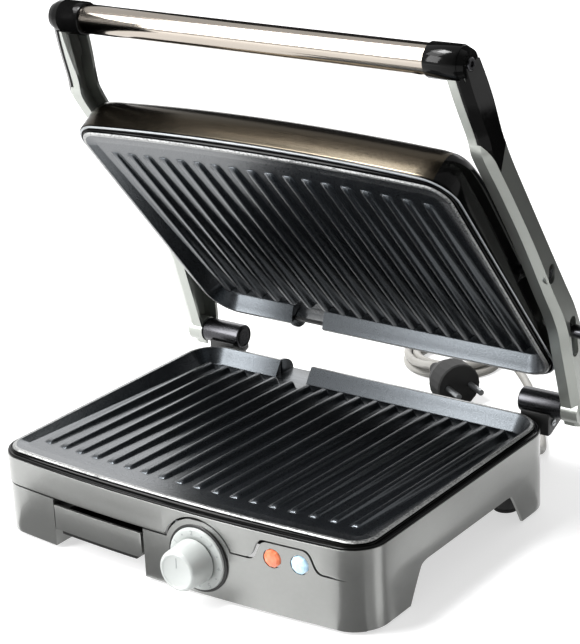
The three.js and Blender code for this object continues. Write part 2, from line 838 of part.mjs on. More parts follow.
// A hanging rail: a web from the bottom cover and a lip under the tray's flange.
function trayRail(side) {
  const edge = side < 0 ? tray.left + tray.side : tray.right - tray.side;
  const out = (d) => edge + side * d;
  const lipTop = tray.boxTop - tray.wall - gap;
  const span = (a, b) => [Math.min(out(a), out(b)), Math.max(out(a), out(b))];
  const [l0, l1] = span(rail.clear, rail.reach);
  const [w0, w1] = span(tray.flange + rail.web, rail.reach);
  const y0 = -plate.front + cover.back + rail.front;
  const y1 = tray.boxRear - rail.rear;
  const lip = solid(box(l0, l1, y0, y1, lipTop - rail.lip, lipTop));
  return lip.add(solid(box(w0, w1, y0, y1, lipTop - rail.web, cover.bottom - gap)));
}

function bottomCover() {
  const size = { ...housing, bow: 0, front: plate.front - cover.back };
  let made = solid(stack(size, [[housing.wall + gap, cover.bottom], [housing.wall + gap, cover.bottom + cover.thick]]));
  for (const x of [-cover.postX, cover.postX])
    for (const y of cover.posts)
      made = made
        .add(solid(bar("z", cover.post, foot.pad + gap, cover.bottom + eps, x, y, 14)))
        .subtract(solid(bar("z", foot.spigot + gap, -over, foot.pad + foot.spigot + 2 * gap, x, y, 10)));
  const drain = (across("notchLeft") + across("notchRight")) / 2;
  const drainRear = tray.boxRear - cover.drainRear;
  return made.subtract(solid(box(drain - cover.drainHalf, drain + cover.drainHalf, drainRear - cover.drainLong, drainRear, 0, cover.bottom + over)));
}

function rubberFoot(x, y) {
  return turnedZ(
    [
      [0, 0],
      [0, foot.radius - nip],
      [nip, foot.radius],
      [foot.pad, foot.radius],
      [foot.pad, foot.spigot],
      [foot.pad + foot.spigot, foot.spigot],
      [foot.pad + foot.spigot, 0],
    ],
    [x, y, 0],
    14,
  );
}

function turnedZ(profile, at, sides) {
  const points = profile.map(([along, radius]) => new THREE.Vector2(radius, along));
  const geometry = facingOut(mergedGeometry(new THREE.LatheGeometry(points, sides)));
  return geometry.rotateX(Math.PI / 2).translate(at[0], at[1], at[2]);
}

function hingeBracket() {
  const back = hinge.y + hinge.bracketBack;
  const face = housing.rear + gap;
  const low = plate.lipTop - hinge.bracketLow;
  const inner = hinge.inner + hinge.bracketIn;
  const outer = inner + hinge.bracketLong;
  const outline = [
    [face, low],
    [face + hinge.bracketFoot, low],
    [back, hinge.z - hinge.radius - hinge.bracketFoot],
    [back, hinge.z - hinge.bracketHead],
    [face, hinge.z - hinge.bracketFoot],
  ];
  return solid(slabX(outline, inner, outer)).subtract(
    solid(bar("x", hinge.radius + gap, inner - over, outer + over, hinge.y, hinge.z, 24)),
  );
}

function hingeBarrel() {
  const r = hinge.radius;
  const bore = hinge.pin + gap;
  return turned(
    "x",
    [
      [0, 0],
      [0, r - hinge.recess],
      [hinge.recessDeep, r - hinge.recess],
      [hinge.recessDeep, r - nip],
      [0, r - hinge.recessDeep],
      [nip, r],
      [hinge.long - nip, r],
      [hinge.long, r - hinge.recessDeep],
      [hinge.long, bore],
      [hinge.pinIn - gap, bore],
      [hinge.pinIn - gap, 0],
    ],
    [hinge.inner, hinge.y, hinge.z],
    18,
  );
}

// Arms

// The outer corner of a channel section, sunk by a depth: on the front face, and where chamfer and web meet.
function outerEdge(sunk) {
  const run = arm.outer - arm.shoulder;
  const slope = Math.hypot(arm.chamfer, run);
  return [
    [0, arm.shoulder - (sunk * slope) / arm.chamfer],
    [arm.chamfer + (sunk * run) / (slope + arm.chamfer), arm.outer - sunk],
  ];
}

// A station past the end of a list, in line with its last two.
function stationPast(last, before) {
  const go = ([y, z], [v, w]) => [y + (y - v) / 2, z + (z - w) / 2];
  return [go(last[0], before[0]), go(last[1], before[1])];
}

// Solid through all stations of the arm; a section lists [distance behind the front edge, x].
function armLoft(section, pastEnds) {
  const [top, second] = armStations;
  const [above, bottom] = armStations.slice(-2);
  const leanFrom = pivot.z + arm.leanShare * handle.rise;
  const stations = pastEnds ? [stationPast(top, second), ...armStations, stationPast(bottom, above)] : armStations;
  return solid(
    loft(
      stations.map(([front, rear]) => {
        const f = new THREE.Vector2(...front);
        const back = new THREE.Vector2(...rear).sub(f);
        const deep = back.length();
        back.normalize();
        const lean = (arm.lean * Math.max(0, f.y - leanFrom)) / (handle.z - leanFrom);
        return section(deep).map(([t, x]) => {
          const p = f.clone().addScaledVector(back, t);
          return new THREE.Vector3(x - lean, p.x, p.y);
        });
      }),
    ),
  );
}

// The filled outline of the arm, its outer faces sunk by a depth and its other faces moved out by another.
function armFilled(sunk, beyond) {
  const [atFront, atWeb] = outerEdge(sunk);
  const along = (beyond * (arm.outer - arm.shoulder)) / arm.chamfer;
  return armLoft((deep) => [
    [-beyond, arm.inner - beyond],
    [-beyond, atFront[1] - along],
    atWeb,
    [deep + beyond, arm.outer - sunk],
    [deep + beyond, arm.inner - beyond],
  ], beyond > 0);
}

// Region of the inlay seen from the side, grown by a clearance.
function inlayRegion(grow) {
  const front = onUpperArm(inlayShares.front);
  const tip = onUpperArm(inlayShares.tip);
  const rear = onUpperArm(inlayShares.rear);
  return solid(
    slabX(
      [
        [handle.y - 2 * over - handle.collar, front[1] - grow],
        [front[0], front[1] - grow],
        [tip[0], tip[1] - 1.6 * grow],
        [rear[0] + grow, rear[1]],
        [rear[0] + 2 * over, rear[1]],
        [rear[0] + 2 * over, handle.z + 4 * over],
        [handle.y - 2 * over - handle.collar, handle.z + 4 * over],
      ],
      arm.inner - arm.lean,
      arm.outer + over,
    ),
  );
}

// The end cap of the handle and the arm's tongue inside it.
const topOuter = arm.outer - arm.lean;
const capInner = topOuter - arm.inlay - gap - arm.web;
const shoulderX = arm.shoulder - arm.lean;
const coneAt = (x) => handle.collar - (arm.chamfer * Math.max(0, x - shoulderX)) / (arm.outer - arm.shoulder);
function capRound(grow, x0) {
  const profile = [
    [0, 0],
    [0, coneAt(x0) + grow],
  ];
  if (x0 < shoulderX) profile.push([shoulderX - x0, handle.collar + grow]);
  profile.push([topOuter - x0 + grow, coneAt(topOuter) + grow], [topOuter - x0 + grow, 0]);
  return solid(turned("x", profile, [x0, handle.y, handle.z], 20));
}

function tongue(grow) {
  const r = arm.tongue + grow;
  const lower = armStations[2];
  const y = (lower[0][0] + lower[1][0]) / 2;
  const z = (lower[0][1] + lower[1][1]) / 2;
  const tilt = Math.atan2(handle.z - z, handle.y - y);
  const outline = [
    ...arcPoints(handle.y, handle.z, r, tilt - Math.PI / 2, tilt + Math.PI / 2, 8),
    ...arcPoints(y, z, r, tilt + Math.PI / 2, tilt + 1.5 * Math.PI, 8),
  ];
  return solid(slabX(outline, capInner - grow, capInner + arm.web + grow));
}

function armBody() {
  const { outer, inner, web, shoulder, chamfer } = arm;
  const channel = armLoft((deep) => [
    [0, inner],
    ...outerEdge(0),
    [deep, outer],
    [deep, inner],
    [deep - web, inner],
    [deep - web, outer - web],
    [chamfer + 0.5 * web, outer - web],
    [web, shoulder - 0.5 * web],
    [web, inner],
  ]);
  const skin = armFilled(-over, nip).subtract(armFilled(arm.inlay + gap, 2 * nip)).intersect(inlayRegion(gap));
  const backing = armFilled(arm.inlay + gap, 0)
    .subtract(armFilled(arm.inlay + gap + web, nip))
    .intersect(inlayRegion(web));
  const boss = solid(bar("x", hinge.boss, hinge.outer + hinge.bossGap, outer - web / 2, hinge.y, hinge.z, 18));
  const seat = solid(bar("x", lid.boss + arm.pivotRim, outer - web - arm.pivotDeep, outer - web / 2, pivot.y, pivot.z, 20));
  let made = channel.add(backing).add(boss).add(seat).subtract(skin);
  made = made.subtract(capRound(gap, capInner - 6 * over)).add(tongue(0));
  made = made.subtract(solid(bar("x", hinge.pin + gap, inner - over, outer - web, hinge.y, hinge.z, 20)));
  made = made.subtract(ovalCut(pivot.y, pivot.z, lid.pin + gap, lid.float, outer - web - 2 * over, outer + over));
  return made.subtract(solid(bar("x", handle.screw + gap, inner - 2 * over, outer + over, handle.y, handle.z, 16)));
}

// A slot with round ends, tilted from the vertical towards the front, cut through in X.
function ovalCut(y, z, radius, half, x0, x1, tilt = 0) {
  const dy = -half * Math.sin(tilt);
  const dz = half * Math.cos(tilt);
  const outline = [
    ...arcPoints(y + dy, z + dz, radius, tilt, tilt + Math.PI, 8),
    ...arcPoints(y - dy, z - dz, radius, tilt + Math.PI, tilt + 2 * Math.PI, 8),
  ];
  return solid(slabX(outline, x0, x1));
}

function armInlay() {
  const skin = armFilled(0, 0).subtract(armFilled(arm.inlay, nip)).intersect(inlayRegion(0));
  const room = solid(bar("x", handle.collar + gap, arm.inner - 3 * over, capInner, handle.y, handle.z, 20));
  const made = skin.subtract(room).add(capRound(0, capInner)).subtract(tongue(gap));
  return made
    .subtract(solid(bar("x", handle.head + gap, topOuter - arm.inlay, topOuter + over, handle.y, handle.z, 20)))
    .subtract(solid(bar("x", handle.screw + gap, capInner - over, topOuter + over, handle.y, handle.z, 16)));
}

function handleScrew() {
  const start = capInner - 2 * over;
  const under = topOuter - arm.inlay + gap - start;
  const head = solid(
    turned(
      "x",
      [
        [0, 0],
        [0, handle.screw],
        [under, handle.screw],
        [under, handle.head],
        [under + handle.headHigh - handle.headEdge, handle.head],
        [under + handle.headHigh, handle.head - handle.headEdge],
        [under + handle.headHigh, 0],
      ],
      [start, handle.y, handle.z],
      12,
    ),
  );
  const face = start + under + handle.headHigh;
  const socket = bar("x", handle.socket, face - handle.socketDeep / 2, face + handle.socketDeep / 2, handle.y, handle.z, 6);
  return head.subtract(solid(socket));
}

function handleTube() {
  const r = handle.tube;
  const bore = r - handle.wall;
  let made = solid(bar("x", r, -handle.half, handle.half, handle.y, handle.z, 24)).subtract(
    solid(bar("x", bore, -handle.half - over, handle.half + over, handle.y, handle.z, 16)),
  );
  const end = handle.half - handle.holeIn;
  for (const x of [-end, end]) {
    const hole = bar("y", handle.hole, -2 * r, 0, 0, 0, 12)
      .scale(handle.holeLong / handle.hole, 1, 1)
      .rotateX(handle.holeTurn)
      .translate(x, handle.y, handle.z);
    made = made.subtract(solid(hole));
  }
  return made;
}

function handleCollar() {
  const length = capInner - gap - handle.half - gap;
  const made = solid(
    turned(
      "x",
      [
        [-2 * over, 0],
        [-2 * over, handle.spigot],
        [0, handle.spigot],
        [0, handle.collar - nip],
        [nip, handle.collar],
        [shoulderX - handle.half - gap, handle.collar],
        [length, coneAt(capInner - gap)],
        [length, 0],
      ],
      [handle.half + gap, handle.y, handle.z],
      20,
    ),
  );
  return made.subtract(solid(bar("x", handle.screw + gap, capInner - 2 * over - gap, capInner + over, handle.y, handle.z, 16)));
}

const lockTilt = THREE.MathUtils.degToRad(lock.tiltDeg);

function lockKnob() {
  const k = lock;
  const y = k.y - k.at * Math.sin(lockTilt);
  const z = k.z + k.at * Math.cos(lockTilt);
  const inside = arm.outer - arm.web - gap;
  const length = k.reach - inside + k.flange;
  const through = k.flange + arm.web + 2 * gap;
  return turned(
    "x",
    [
      [0, 0],
      [0, k.collar],
      [k.flange, k.collar],
      [k.flange, k.width / 2 - gap],
      [through, k.width / 2 - gap],
      [through, k.collar - nip],
      [through + k.neck - gap, k.collar - nip],
      [through + k.neck - gap, k.knob],
      [length - nip, k.knob],
      [length, k.knob - nip],
      [length, 0],
    ],
    [inside - k.flange, y, z],
    16,
  );
}

// Lid, modelled closed

// How far the lid's rounded corner stands back at a place along X.
const cornerBack = (x, r) => r - Math.sqrt(Math.max(0, r * r - Math.max(0, Math.abs(x) - lid.half + r) ** 2));

// Side outline of the lid at a place along X, drawn in by a wall and lowered at the rounded edge.
function lidProfile(x, wall) {
  const bow = lid.bow * (1 - (x / lid.half) ** 2);
  const front = -lid.front - bow + cornerBack(x, lid.cornerFront) + wall;
  const rear = lid.rear - cornerBack(x, lid.cornerRear) - wall;
  const past = Math.max(0, Math.abs(x) - lid.top + lid.edge);
  const drop = past < lid.edge ? lid.edge - Math.sqrt(lid.edge ** 2 - past ** 2) : lid.edge;
  const side = past <= lid.edge ? 1 : 1 - (lid.lastShare * (Math.abs(x) - lid.top)) / (lid.half - lid.top);
  const share = side * (1 - drop / lid.ridge[1][1]);
  const height = (z) => lid.low + Math.max(0, z - wall) * share;
  return [
    ...lid.rise.map(([y, z]) => [front + y, height(z)]),
    ...lid.ridge.map(([y, z]) => [y, height(z)]),
    ...lid.fall.map(([y, z]) => [rear + y, height(z)]),
  ];
}

const lidRing = (x, wall) => lidProfile(x, wall).map(([y, z]) => new THREE.Vector3(x, y, z));

function lidCover() {
  return loft(coverShares.map((share) => [...lidRing(share * lid.cap, 0), ...lidRing(share * lid.cap, lid.steel).reverse()]));
}

// A moulded end cap: hollow, open below and towards the cover, with a boss for the pivot pin.
function lidCap() {
  const { cap, half, top, edge, shell } = lid;
  const start = cap + gap;
  const outside = solid(
    loft([start, ...capShares.map((share) => top - share * edge), half].map((x) => lidRing(x, x === half ? shell : 0))),
  );
  const inside = solid(
    loft([start - over, top - edge / 2 - shell, top - shell].map((x) => lidRing(x, shell))),
  )
    .add(solid(box(start - over, top - shell, -lid.front + lid.cornerFront, lid.rear - lid.cornerRear, 0, lid.low + lid.rise[1][1])))
    .add(solid(stack(housing, [[lid.frame - gap, 0], [lid.frame - gap, lid.low + housing.wall + gap]])));
  const boss = solid(bar("x", lid.boss, start, top - shell / 2, lid.pinY, lid.pinZ, 20));
  return outside.subtract(inside).add(boss).subtract(solid(bar("x", lid.pin + gap, start + nip, half + over, lid.pinY, lid.pinZ, 14)));
}

// The frame inside the lid's lower edge, which carries the trim ring.
const lidFrame = () =>
  ringOf([
    [housing, lid.frame, housing.top],
    [plate, housing.opening, housing.top],
    [plate, housing.opening, housing.top - housing.wall],
    [housing, lid.frame, housing.top - housing.wall],
  ]);

function lidPin() {
  const from = lid.cap + 3 * gap + nip;
  const to = arm.outer - arm.web / 2;
  return turned(
    "x",
    [
      [0, 0],
      [0, lid.pin],
      [to - from, lid.pin],
      [to - from, 0],
    ],
    [from, 0, 0],
    14,
  );
}

// The mirror plane half-way between the two closed lips.
const mirrorZ = (made) => made.mirror([0, 0, 1]).translate([0, 0, 2 * plate.lipTop + lid.joint]);

// Colours

const paint = (color, roughness, metalness) => new THREE.MeshStandardMaterial({ color, roughness, metalness });
const gunmetal = paint(0x8d8f8c, 0.32, 0.8);
const blackGloss = paint(0x08090a, 0.12, 0);
const blackSatin = paint(0x141516, 0.45, 0);
const nonStick = paint(0x1b1d20, 0.35, 0.1);
const brushed = paint(0x8f8b80, 0.3, 1);
const polished = paint(0xd8d4cc, 0.12, 1);
const silver = paint(0xdfe4e2, 0.4, 0.1);
const steel = paint(0xa8a8a8, 0.4, 1);
const rubber = paint(0x1c1c1c, 0.8, 0);
const redLens = paint(0xe0694a, 0.15, 0);
const blueLens = paint(0xb9d4e8, 0.15, 0);
const cordGrey = paint(0x2a2b2b, 0.5, 0);

// Assembly

const grill = new THREE.Group();
const base = new THREE.Group();
const arms = new THREE.Group();
const lidGroup = new THREE.Group();
grill.add(base, arms, lidGroup);

function add(group, name, shape, material) {
  const geometry = shape.isBufferGeometry ? shape : geometryOf(shape);
  const mesh = new THREE.Mesh(geometry, material);
  mesh.name = name;
  group.add(mesh);
  return mesh;
}

function pair(group, name, made, material) {
  const right = made.isBufferGeometry ? solid(made) : made;
  add(group, name + "_right", right, material);
  add(group, name + "_left", mirrorX(right), material);
}

add(base, "base_housing", baseHousing(), gunmetal);
add(base, "front_fascia", frontFascia(), gunmetal);
add(base, "leg_cover", legCover(), gunmetal);
add(base, "bottom_cover", bottomCover(), blackSatin);
add(base, "drip_tray", dripTray(), gunmetal);
add(base, "tray_rail_left", trayRail(-1), steel);
add(base, "tray_rail_right", trayRail(1), steel);
add(base, "lower_bezel", trimRing(), blackSatin);

for (const [side, x] of [["left", -cover.postX], ["right", cover.postX]])
  for (const [end, y] of [["front", cover.posts[0]], ["rear", cover.posts[1]]])
    add(base, `rubber_foot_${end}_${side}`, rubberFoot(x, y), rubber);

const lowerPlate = castPlate();
add(base, "lower_plate", lowerPlate, nonStick);
add(base, "lower_heater", heaterLoop(), steel);
add(base, "lower_reflector", reflector(), steel);

pair(base, "hinge_barrel", hingeBarrel(), gunmetal);
pair(base, "hinge_bracket", hingeBracket(), blackSatin);

// Controls

const face = frontFaceAt(dial.x);
const dialRing = turned(
  "-y",
  [
    [gap, dial.ringInner],
    [gap, dial.ring],
    [dial.ringDepth - dial.ringEdge, dial.ring - dial.ringEdge],
    [dial.ringDepth, dial.ring - nip - dial.ringEdge],
    [dial.ringDepth, dial.ringInner],
    [gap, dial.ringInner],
  ],
  [dial.x, face, dial.z],
  24,
);
add(base, "dial_ring", dialRing, silver);
const knobBack = face - nip;
const faceRim = dial.grip - dial.gripDraft - dial.rimWidth;
add(
  base,
  "control_knob",
  turned(
    "-y",
    [
      [0, 0],
      [0, dial.ringInner - nip],
      [dial.ringDepth, dial.ringInner - nip],
      [dial.ringDepth + dial.ringEdge, dial.grip],
      [dial.gripDepth - dial.gripEdge, dial.grip - dial.gripDraft],
      [dial.gripDepth - dial.dish, faceRim + nip],
      [dial.gripDepth, faceRim],
      [dial.gripDepth - dial.dish, faceRim - nip],
      [dial.gripDepth - dial.dish, 0],
    ],
    [dial.x, knobBack, dial.z],
    24,
  ),
  silver,
);
const thermostatFace = -housing.front + thermostat.back + gap;
add(base, "thermostat_shaft", bar("y", dial.shaft, knobBack + gap, thermostatFace - gap, dial.x, dial.z, 16), steel);
const thermostatBox = box(
  dial.x - thermostat.half,
  dial.x + thermostat.half,
  thermostatFace,
  thermostatFace + thermostat.deep,
  dial.z - thermostat.tall,
  dial.z + thermostat.tall,
);
add(base, "thermostat", thermostatBox, steel);
lamp.x.forEach((x, i) => {
  const at = frontFaceAt(x);
  const lens = turned(
    "-y",
    [
      [-lamp.body, 0],
      [-lamp.body, lamp.radius - nip],
      [lamp.dome / 3, lamp.radius],
      [lamp.dome, lamp.radius - lamp.dome / 2],
      [lamp.dome + nip, 0],
    ],
    [x, at, lamp.z],
    10,
  );
  add(base, ["power_lamp", "ready_lamp"][i], lens, [redLens, blueLens][i]);
});

// Arms and handle

const armRight = armBody();
const slotHalf = lock.half - lock.width / 2;
const slot = ovalCut(lock.y, lock.z, lock.width / 2, slotHalf, arm.outer - 2 * over, arm.outer + over, lockTilt);
add(arms, "arm_right", armRight.subtract(slot), gunmetal);
add(arms, "arm_left", mirrorX(armRight), gunmetal);
pair(arms, "arm_inlay", armInlay(), blackGloss);
pair(arms, "handle_screw", handleScrew(), steel);
pair(arms, "handle_collar", handleCollar(), blackGloss);
add(arms, "handle_tube", handleTube(), polished);
pair(arms, "hinge_pin", bar("x", hinge.pin, hinge.inner + hinge.pinIn, arm.outer - arm.web - gap, hinge.y, hinge.z, 14), steel);
add(arms, "lid_lock_knob", lockKnob(), blackGloss);

// The lid, closed and then turned back about its pivot on the arms.
add(lidGroup, "upper_plate", mirrorZ(lowerPlate), nonStick);
add(lidGroup, "upper_bezel", mirrorZ(solid(trimRing())), blackSatin);
add(lidGroup, "lid_frame", mirrorZ(solid(lidFrame())), steel);
add(lidGroup, "upper_heater", mirrorZ(solid(heaterLoop())), steel);
add(lidGroup, "upper_reflector", mirrorZ(reflector()), steel);
add(lidGroup, "lid_cover", lidCover(), brushed);
pair(lidGroup, "lid_cap", lidCap(), blackGloss);
pair(lidGroup, "lid_pivot_pin", solid(lidPin()).translate([0, lid.pinY, lid.pinZ]), steel);
for (const mesh of lidGroup.children) mesh.position.set(0, -lid.pinY, -lid.pinZ);
lidGroup.position.set(0, pivot.y, pivot.z);
lidGroup.rotation.x = -THREE.MathUtils.degToRad(lid.openDeg);

// Cord, coil and plug

const reliefEnd = housing.rear + gap + cord.relief;
add(
  base,
  "strain_relief",
  turned(
    "y",
    [
      [-housing.wall - cord.inside, 0],
      [-housing.wall - cord.inside, cord.tail],
      [-housing.wall - 2 * gap, cord.tail],
      [-housing.wall - 2 * gap, cord.neck],
      [0, cord.neck],
      [0, cord.root],
      [cord.rootLong, cord.root],
      [cord.rootLong + nip / 2, cord.tail],
      [cord.relief, cord.neck],
      [cord.relief, 0],
    ],
    [cord.exitX, housing.rear + gap, cord.exitZ],
    16,
  ),
  rubber,
);

const heading = THREE.MathUtils.degToRad(plug.turnDeg);
const ahead = [Math.cos(heading), Math.sin(heading)];
const leftward = [-Math.sin(heading), Math.cos(heading)];
const coilEnd = [plug.x - ahead[0] * plug.tail, plug.y - ahead[1] * plug.tail];
const outRadius = cord.inner + cord.pitch * cord.turnsOut;
const coilCentre = [coilEnd[0] + leftward[0] * outRadius, coilEnd[1] + leftward[1] * outRadius];

// Points of the coil: two layers, spiralling in, climbing and spiralling out, ending tangent to the plug's tail.
function coilPath() {
  const perTurn = 24;
  const turns = cord.turnsIn + cord.turnsClimb + cord.turnsOut;
  const count = Math.round(turns * perTurn);
  const lastAngle = heading - Math.PI / 2;
  const points = [];
  for (let i = 0; i <= count; i++) {
    const turn = (turns * i) / count;
    const angle = lastAngle - 2 * Math.PI * (turns - turn);
    const out = Math.max(0, turn - cord.turnsIn - cord.turnsClimb);
    const left = Math.max(0, cord.turnsIn - turn);
    const climb = THREE.MathUtils.clamp((turn - cord.turnsIn) / cord.turnsClimb, 0, 1);
    const r = cord.inner + cord.pitch * (out + left - cord.dipShare * Math.sin(Math.PI * climb));
    const lift = cord.pitch * (0.5 - 0.5 * Math.cos(Math.PI * climb));
    points.push(
      new THREE.Vector3(
        coilCentre[0] + r * Math.cos(angle),
        coilCentre[1] + r * Math.sin(angle),
        cord.radius + lift,
      ),
    );
  }
  const firstAngle = lastAngle - 2 * Math.PI * turns;
  const backward = new THREE.Vector3(Math.sin(firstAngle), -Math.cos(firstAngle), 0);
  points.unshift(points[0].clone().addScaledVector(backward, cord.straight));
  points.push(points[points.length - 1].clone().add(new THREE.Vector3(ahead[0], ahead[1], 0).multiplyScalar(cord.straight)));
  return points;
}

// One unbroken tube through given points.
function woundTube(points, r, sides) {
  const up = new THREE.Vector3(0, 0, 1);
  const rings = points.map((p, i) => {
    const before = points[Math.max(0, i - 1)];
    const after = points[Math.min(points.length - 1, i + 1)];
    const along = after.clone().sub(before).normalize();
    const side = along.clone().cross(up).normalize();
    const top = side.clone().cross(along);
    return Array.from({ length: sides }, (_, k) => {
      const t = (2 * Math.PI * (k + 0.5)) / sides;
      return p
        .clone()
        .addScaledVector(side, r * Math.cos(t))
        .addScaledVector(top, r * Math.sin(t));
    });
  });
  return loft(rings);
}

const coil = coilPath();
const pathLength = (points) => points.slice(1).reduce((sum, p, i) => sum + p.distanceTo(points[i]), 0);

// Least gap of the coil to itself, measured on its points.
let leastGap = Infinity;
coil.forEach((p, i) => {
  coil.forEach((q, j) => {
    if (j > i + 8) leastGap = Math.min(leastGap, p.distanceTo(q) - 2 * cord.radius);
  });
});
console.log("coil: least gap to itself " + leastGap.toFixed(2) + " mm, length " + pathLength(coil).toFixed(0) + " mm");

const coilStart = coil[0];
const intoCoil = coil[1].clone().sub(coil[0]).normalize();
const floorZ = cord.radius + cord.rest;
const landing = new THREE.Vector3(cord.exitX - drop.aside, reliefEnd + drop.length, floorZ);
const dropRoute = dropShares.map(([aside, run, kept]) => [
  cord.exitX - drop.aside * aside,
  reliefEnd + gap + (drop.length - gap) * run,
  floorZ + (cord.exitZ - floorZ) * kept,
]);
const mouth = new THREE.Vector3(coilStart.x, coilStart.y, cord.radius).addScaledVector(intoCoil, -gap);
const before = mouth.clone().addScaledVector(intoCoil, -cord.ahead);
const landed = new THREE.Vector3(-drop.aside, drop.length / 3, 0).normalize();
const reach = landing.distanceTo(before);
const sweep = new THREE.CubicBezierCurve3(
  landing,
  landing.clone().addScaledVector(landed, sweepShares.first * reach),
  before.clone().addScaledVector(intoCoil, -sweepShares.last * reach),
  before,
).getPoints(sweepShares.steps);
const cordRoute = [...dropRoute, ...[...sweep.slice(1), mouth].map((p) => [p.x, p.y, p.z])];
add(grill, "power_cord", tube(cordRoute, cord.radius, 30, 8), cordGrey);
add(grill, "cord_coil", woundTube(coil, cord.radius, 6), cordGrey);

const coilExit = coil[coil.length - 1];
const along = (d, z) => [coilExit.x + ahead[0] * d, coilExit.y + ahead[1] * d, z];
const tailLength = Math.hypot(plug.x - coilExit.x, plug.y - coilExit.y);
const tailRoute = [
  along(gap, coilExit.z),
  along(cord.straight, coilExit.z + cord.rest),
  along(tailLength / 2, (coilExit.z + plug.z) / 2),
  along(tailLength - cord.straight, plug.z - cord.rest),
  along(tailLength - gap, plug.z),
];
add(grill, "plug_tail", tube(tailRoute, cord.radius, 9, 8), cordGrey);

const plugGroup = new THREE.Group();
plugGroup.position.set(plug.x, plug.y, plug.z);
plugGroup.rotation.z = heading;
grill.add(plugGroup);
add(
  plugGroup,
  "plug_body",
  turned(
    "x",
    [
      [0, 0],
      ...plugShares.map(([run, wide]) => [run * plug.length, wide * plug.radius]),
      [plug.length - nip, plug.radius],
      [plug.length, plug.radius - nip],
      [plug.length, 0],
    ],
    [0, 0, 0],
    20,
  ),
  rubber,
);
for (const [name, y] of [["plug_pin_a", -plug.pinHalf], ["plug_pin_b", plug.pinHalf]])
  add(plugGroup, name, bar("x", plug.pin, plug.length + gap, plug.length + plug.pinLong, y, 0, 12), steel);

// The origin stands under the middle of the grill without its cord.
const loose = new Set(["power_cord", "cord_coil", "plug_tail", "plug_body", "plug_pin_a", "plug_pin_b"]);
grill.updateMatrixWorld(true);
const bounds = new THREE.Box3();
grill.traverse((o) => {
  if (o.isMesh && !loose.has(o.name)) bounds.expandByObject(o, true);
});
const middle = bounds.getCenter(new THREE.Vector3());
grill.children.forEach((child) => child.position.sub(new THREE.Vector3(middle.x, middle.y, bounds.min.z)));

export default grill;
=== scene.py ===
import math

import bmesh
import bpy
from mathutils import Matrix, Vector


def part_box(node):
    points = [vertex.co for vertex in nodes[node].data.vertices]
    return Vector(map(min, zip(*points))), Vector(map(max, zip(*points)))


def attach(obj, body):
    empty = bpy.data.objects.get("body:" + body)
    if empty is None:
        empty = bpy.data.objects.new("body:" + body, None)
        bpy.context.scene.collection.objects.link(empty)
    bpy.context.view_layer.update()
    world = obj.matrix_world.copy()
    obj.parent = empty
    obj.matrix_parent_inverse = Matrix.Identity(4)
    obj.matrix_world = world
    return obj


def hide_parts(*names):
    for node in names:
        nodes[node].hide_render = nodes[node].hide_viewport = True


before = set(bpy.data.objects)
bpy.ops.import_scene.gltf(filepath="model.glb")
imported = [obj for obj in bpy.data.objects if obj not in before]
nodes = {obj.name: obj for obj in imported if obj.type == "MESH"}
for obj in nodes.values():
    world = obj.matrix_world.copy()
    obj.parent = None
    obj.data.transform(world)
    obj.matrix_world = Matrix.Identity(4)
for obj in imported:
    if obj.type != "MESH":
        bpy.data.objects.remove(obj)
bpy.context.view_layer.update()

# Pieces are drawn in millimetres with the middle of the cooking plate at x 0, y 0;
# the part's own origin lies this far from there
shift = Vector((-8.7, -0.257255, 0))

# The camera of the photograph, in millimetres and degrees
view = {
    "target": (10.9, 8.1, 142.4),
    "azimuth": 36.62,
    "elevation": 20.43,
    "roll": -2.56,
    "distance": 1387.2,
    "lens": 114.95,
}


def placeCamera():
    az, el, roll = (math.radians(view[k]) for k in ("azimuth", "elevation", "roll"))
    back = Vector((math.sin(az) * math.cos(el), -math.cos(az) * math.cos(el), math.sin(el)))
    right = Vector((0, 0, 1)).cross(back).normalized()
    up = back.cross(right)
    turned = (
        math.cos(roll) * right + math.sin(roll) * up,
        -math.sin(roll) * right + math.cos(roll) * up,
        back,
    )
    data = bpy.data.cameras.new("photoCamera")
    data.sensor_fit = "VERTICAL"
    data.sensor_height = 36
    data.lens = view["lens"]
    data.clip_end = 20
    camera = bpy.data.objects.new("photoCamera", data)
    spot = (Vector(view["target"]) + shift + back * view["distance"]) / 1000
    camera.matrix_world = Matrix.Translation(spot) @ Matrix(turned).transposed().to_4x4()
    bpy.context.collection.objects.link(camera)
    bpy.context.scene.camera = camera


placeCamera()
print("camera placed")


# Sizes that several pieces share, in millimetres and degrees

plate = {
    # outline, seen from above
    "half": 149, "front": 112.5, "rear": 114, "bow": 6.6, "cornerFront": 15, "cornerRear": 24,
    "lipTop": 62, "lip": 1.6, "wallOut": 3.2, "skin": 3.2,
    # the floor slopes to the rear and the ribs slope with it, by less
    "floorFront": 60.4, "floorRear": 51.5, "crestFront": 61.9, "crestRear": 57.6,
    "ribs": 18, "ribPitch": 15, "ribHalf": 90.8, "ribPast": 2.6, "ribLift": 0.049,
    # notch in the rear wall, where fat runs off over a spout
    "notchLeft": -76, "notchRight": -48, "notchFloor": 0.6,
    "spoutPast": 9.5, "spoutWall": 2.5, "spoutRoom": 3.2,
}
housing = {
    "half": 153.75, "front": 116.6, "rear": 117.5, "bow": 9.2, "cornerFront": 21, "cornerRear": 29,
    "top": 58, "bottom": 2.2, "wall": 2.2, "edge": 0.15, "opening": 2.6, "proud": 0.7,
    # the arches between the feet
    "archFront": 70, "archRear": 72, "archSlope": 12, "archTop": 27.5, "archHalf": 98,
}
dial = {"x": 28.2, "z": 27.5, "arc": 27.1}  # arc: radius of the fascia's rise round it
lamps = {"x": (85.6, 105.5), "z": 41.2, "radius": 6.3}
hinge = {"y": 128, "z": 66.8}
pivot = {"y": 81.1, "z": 181.4}
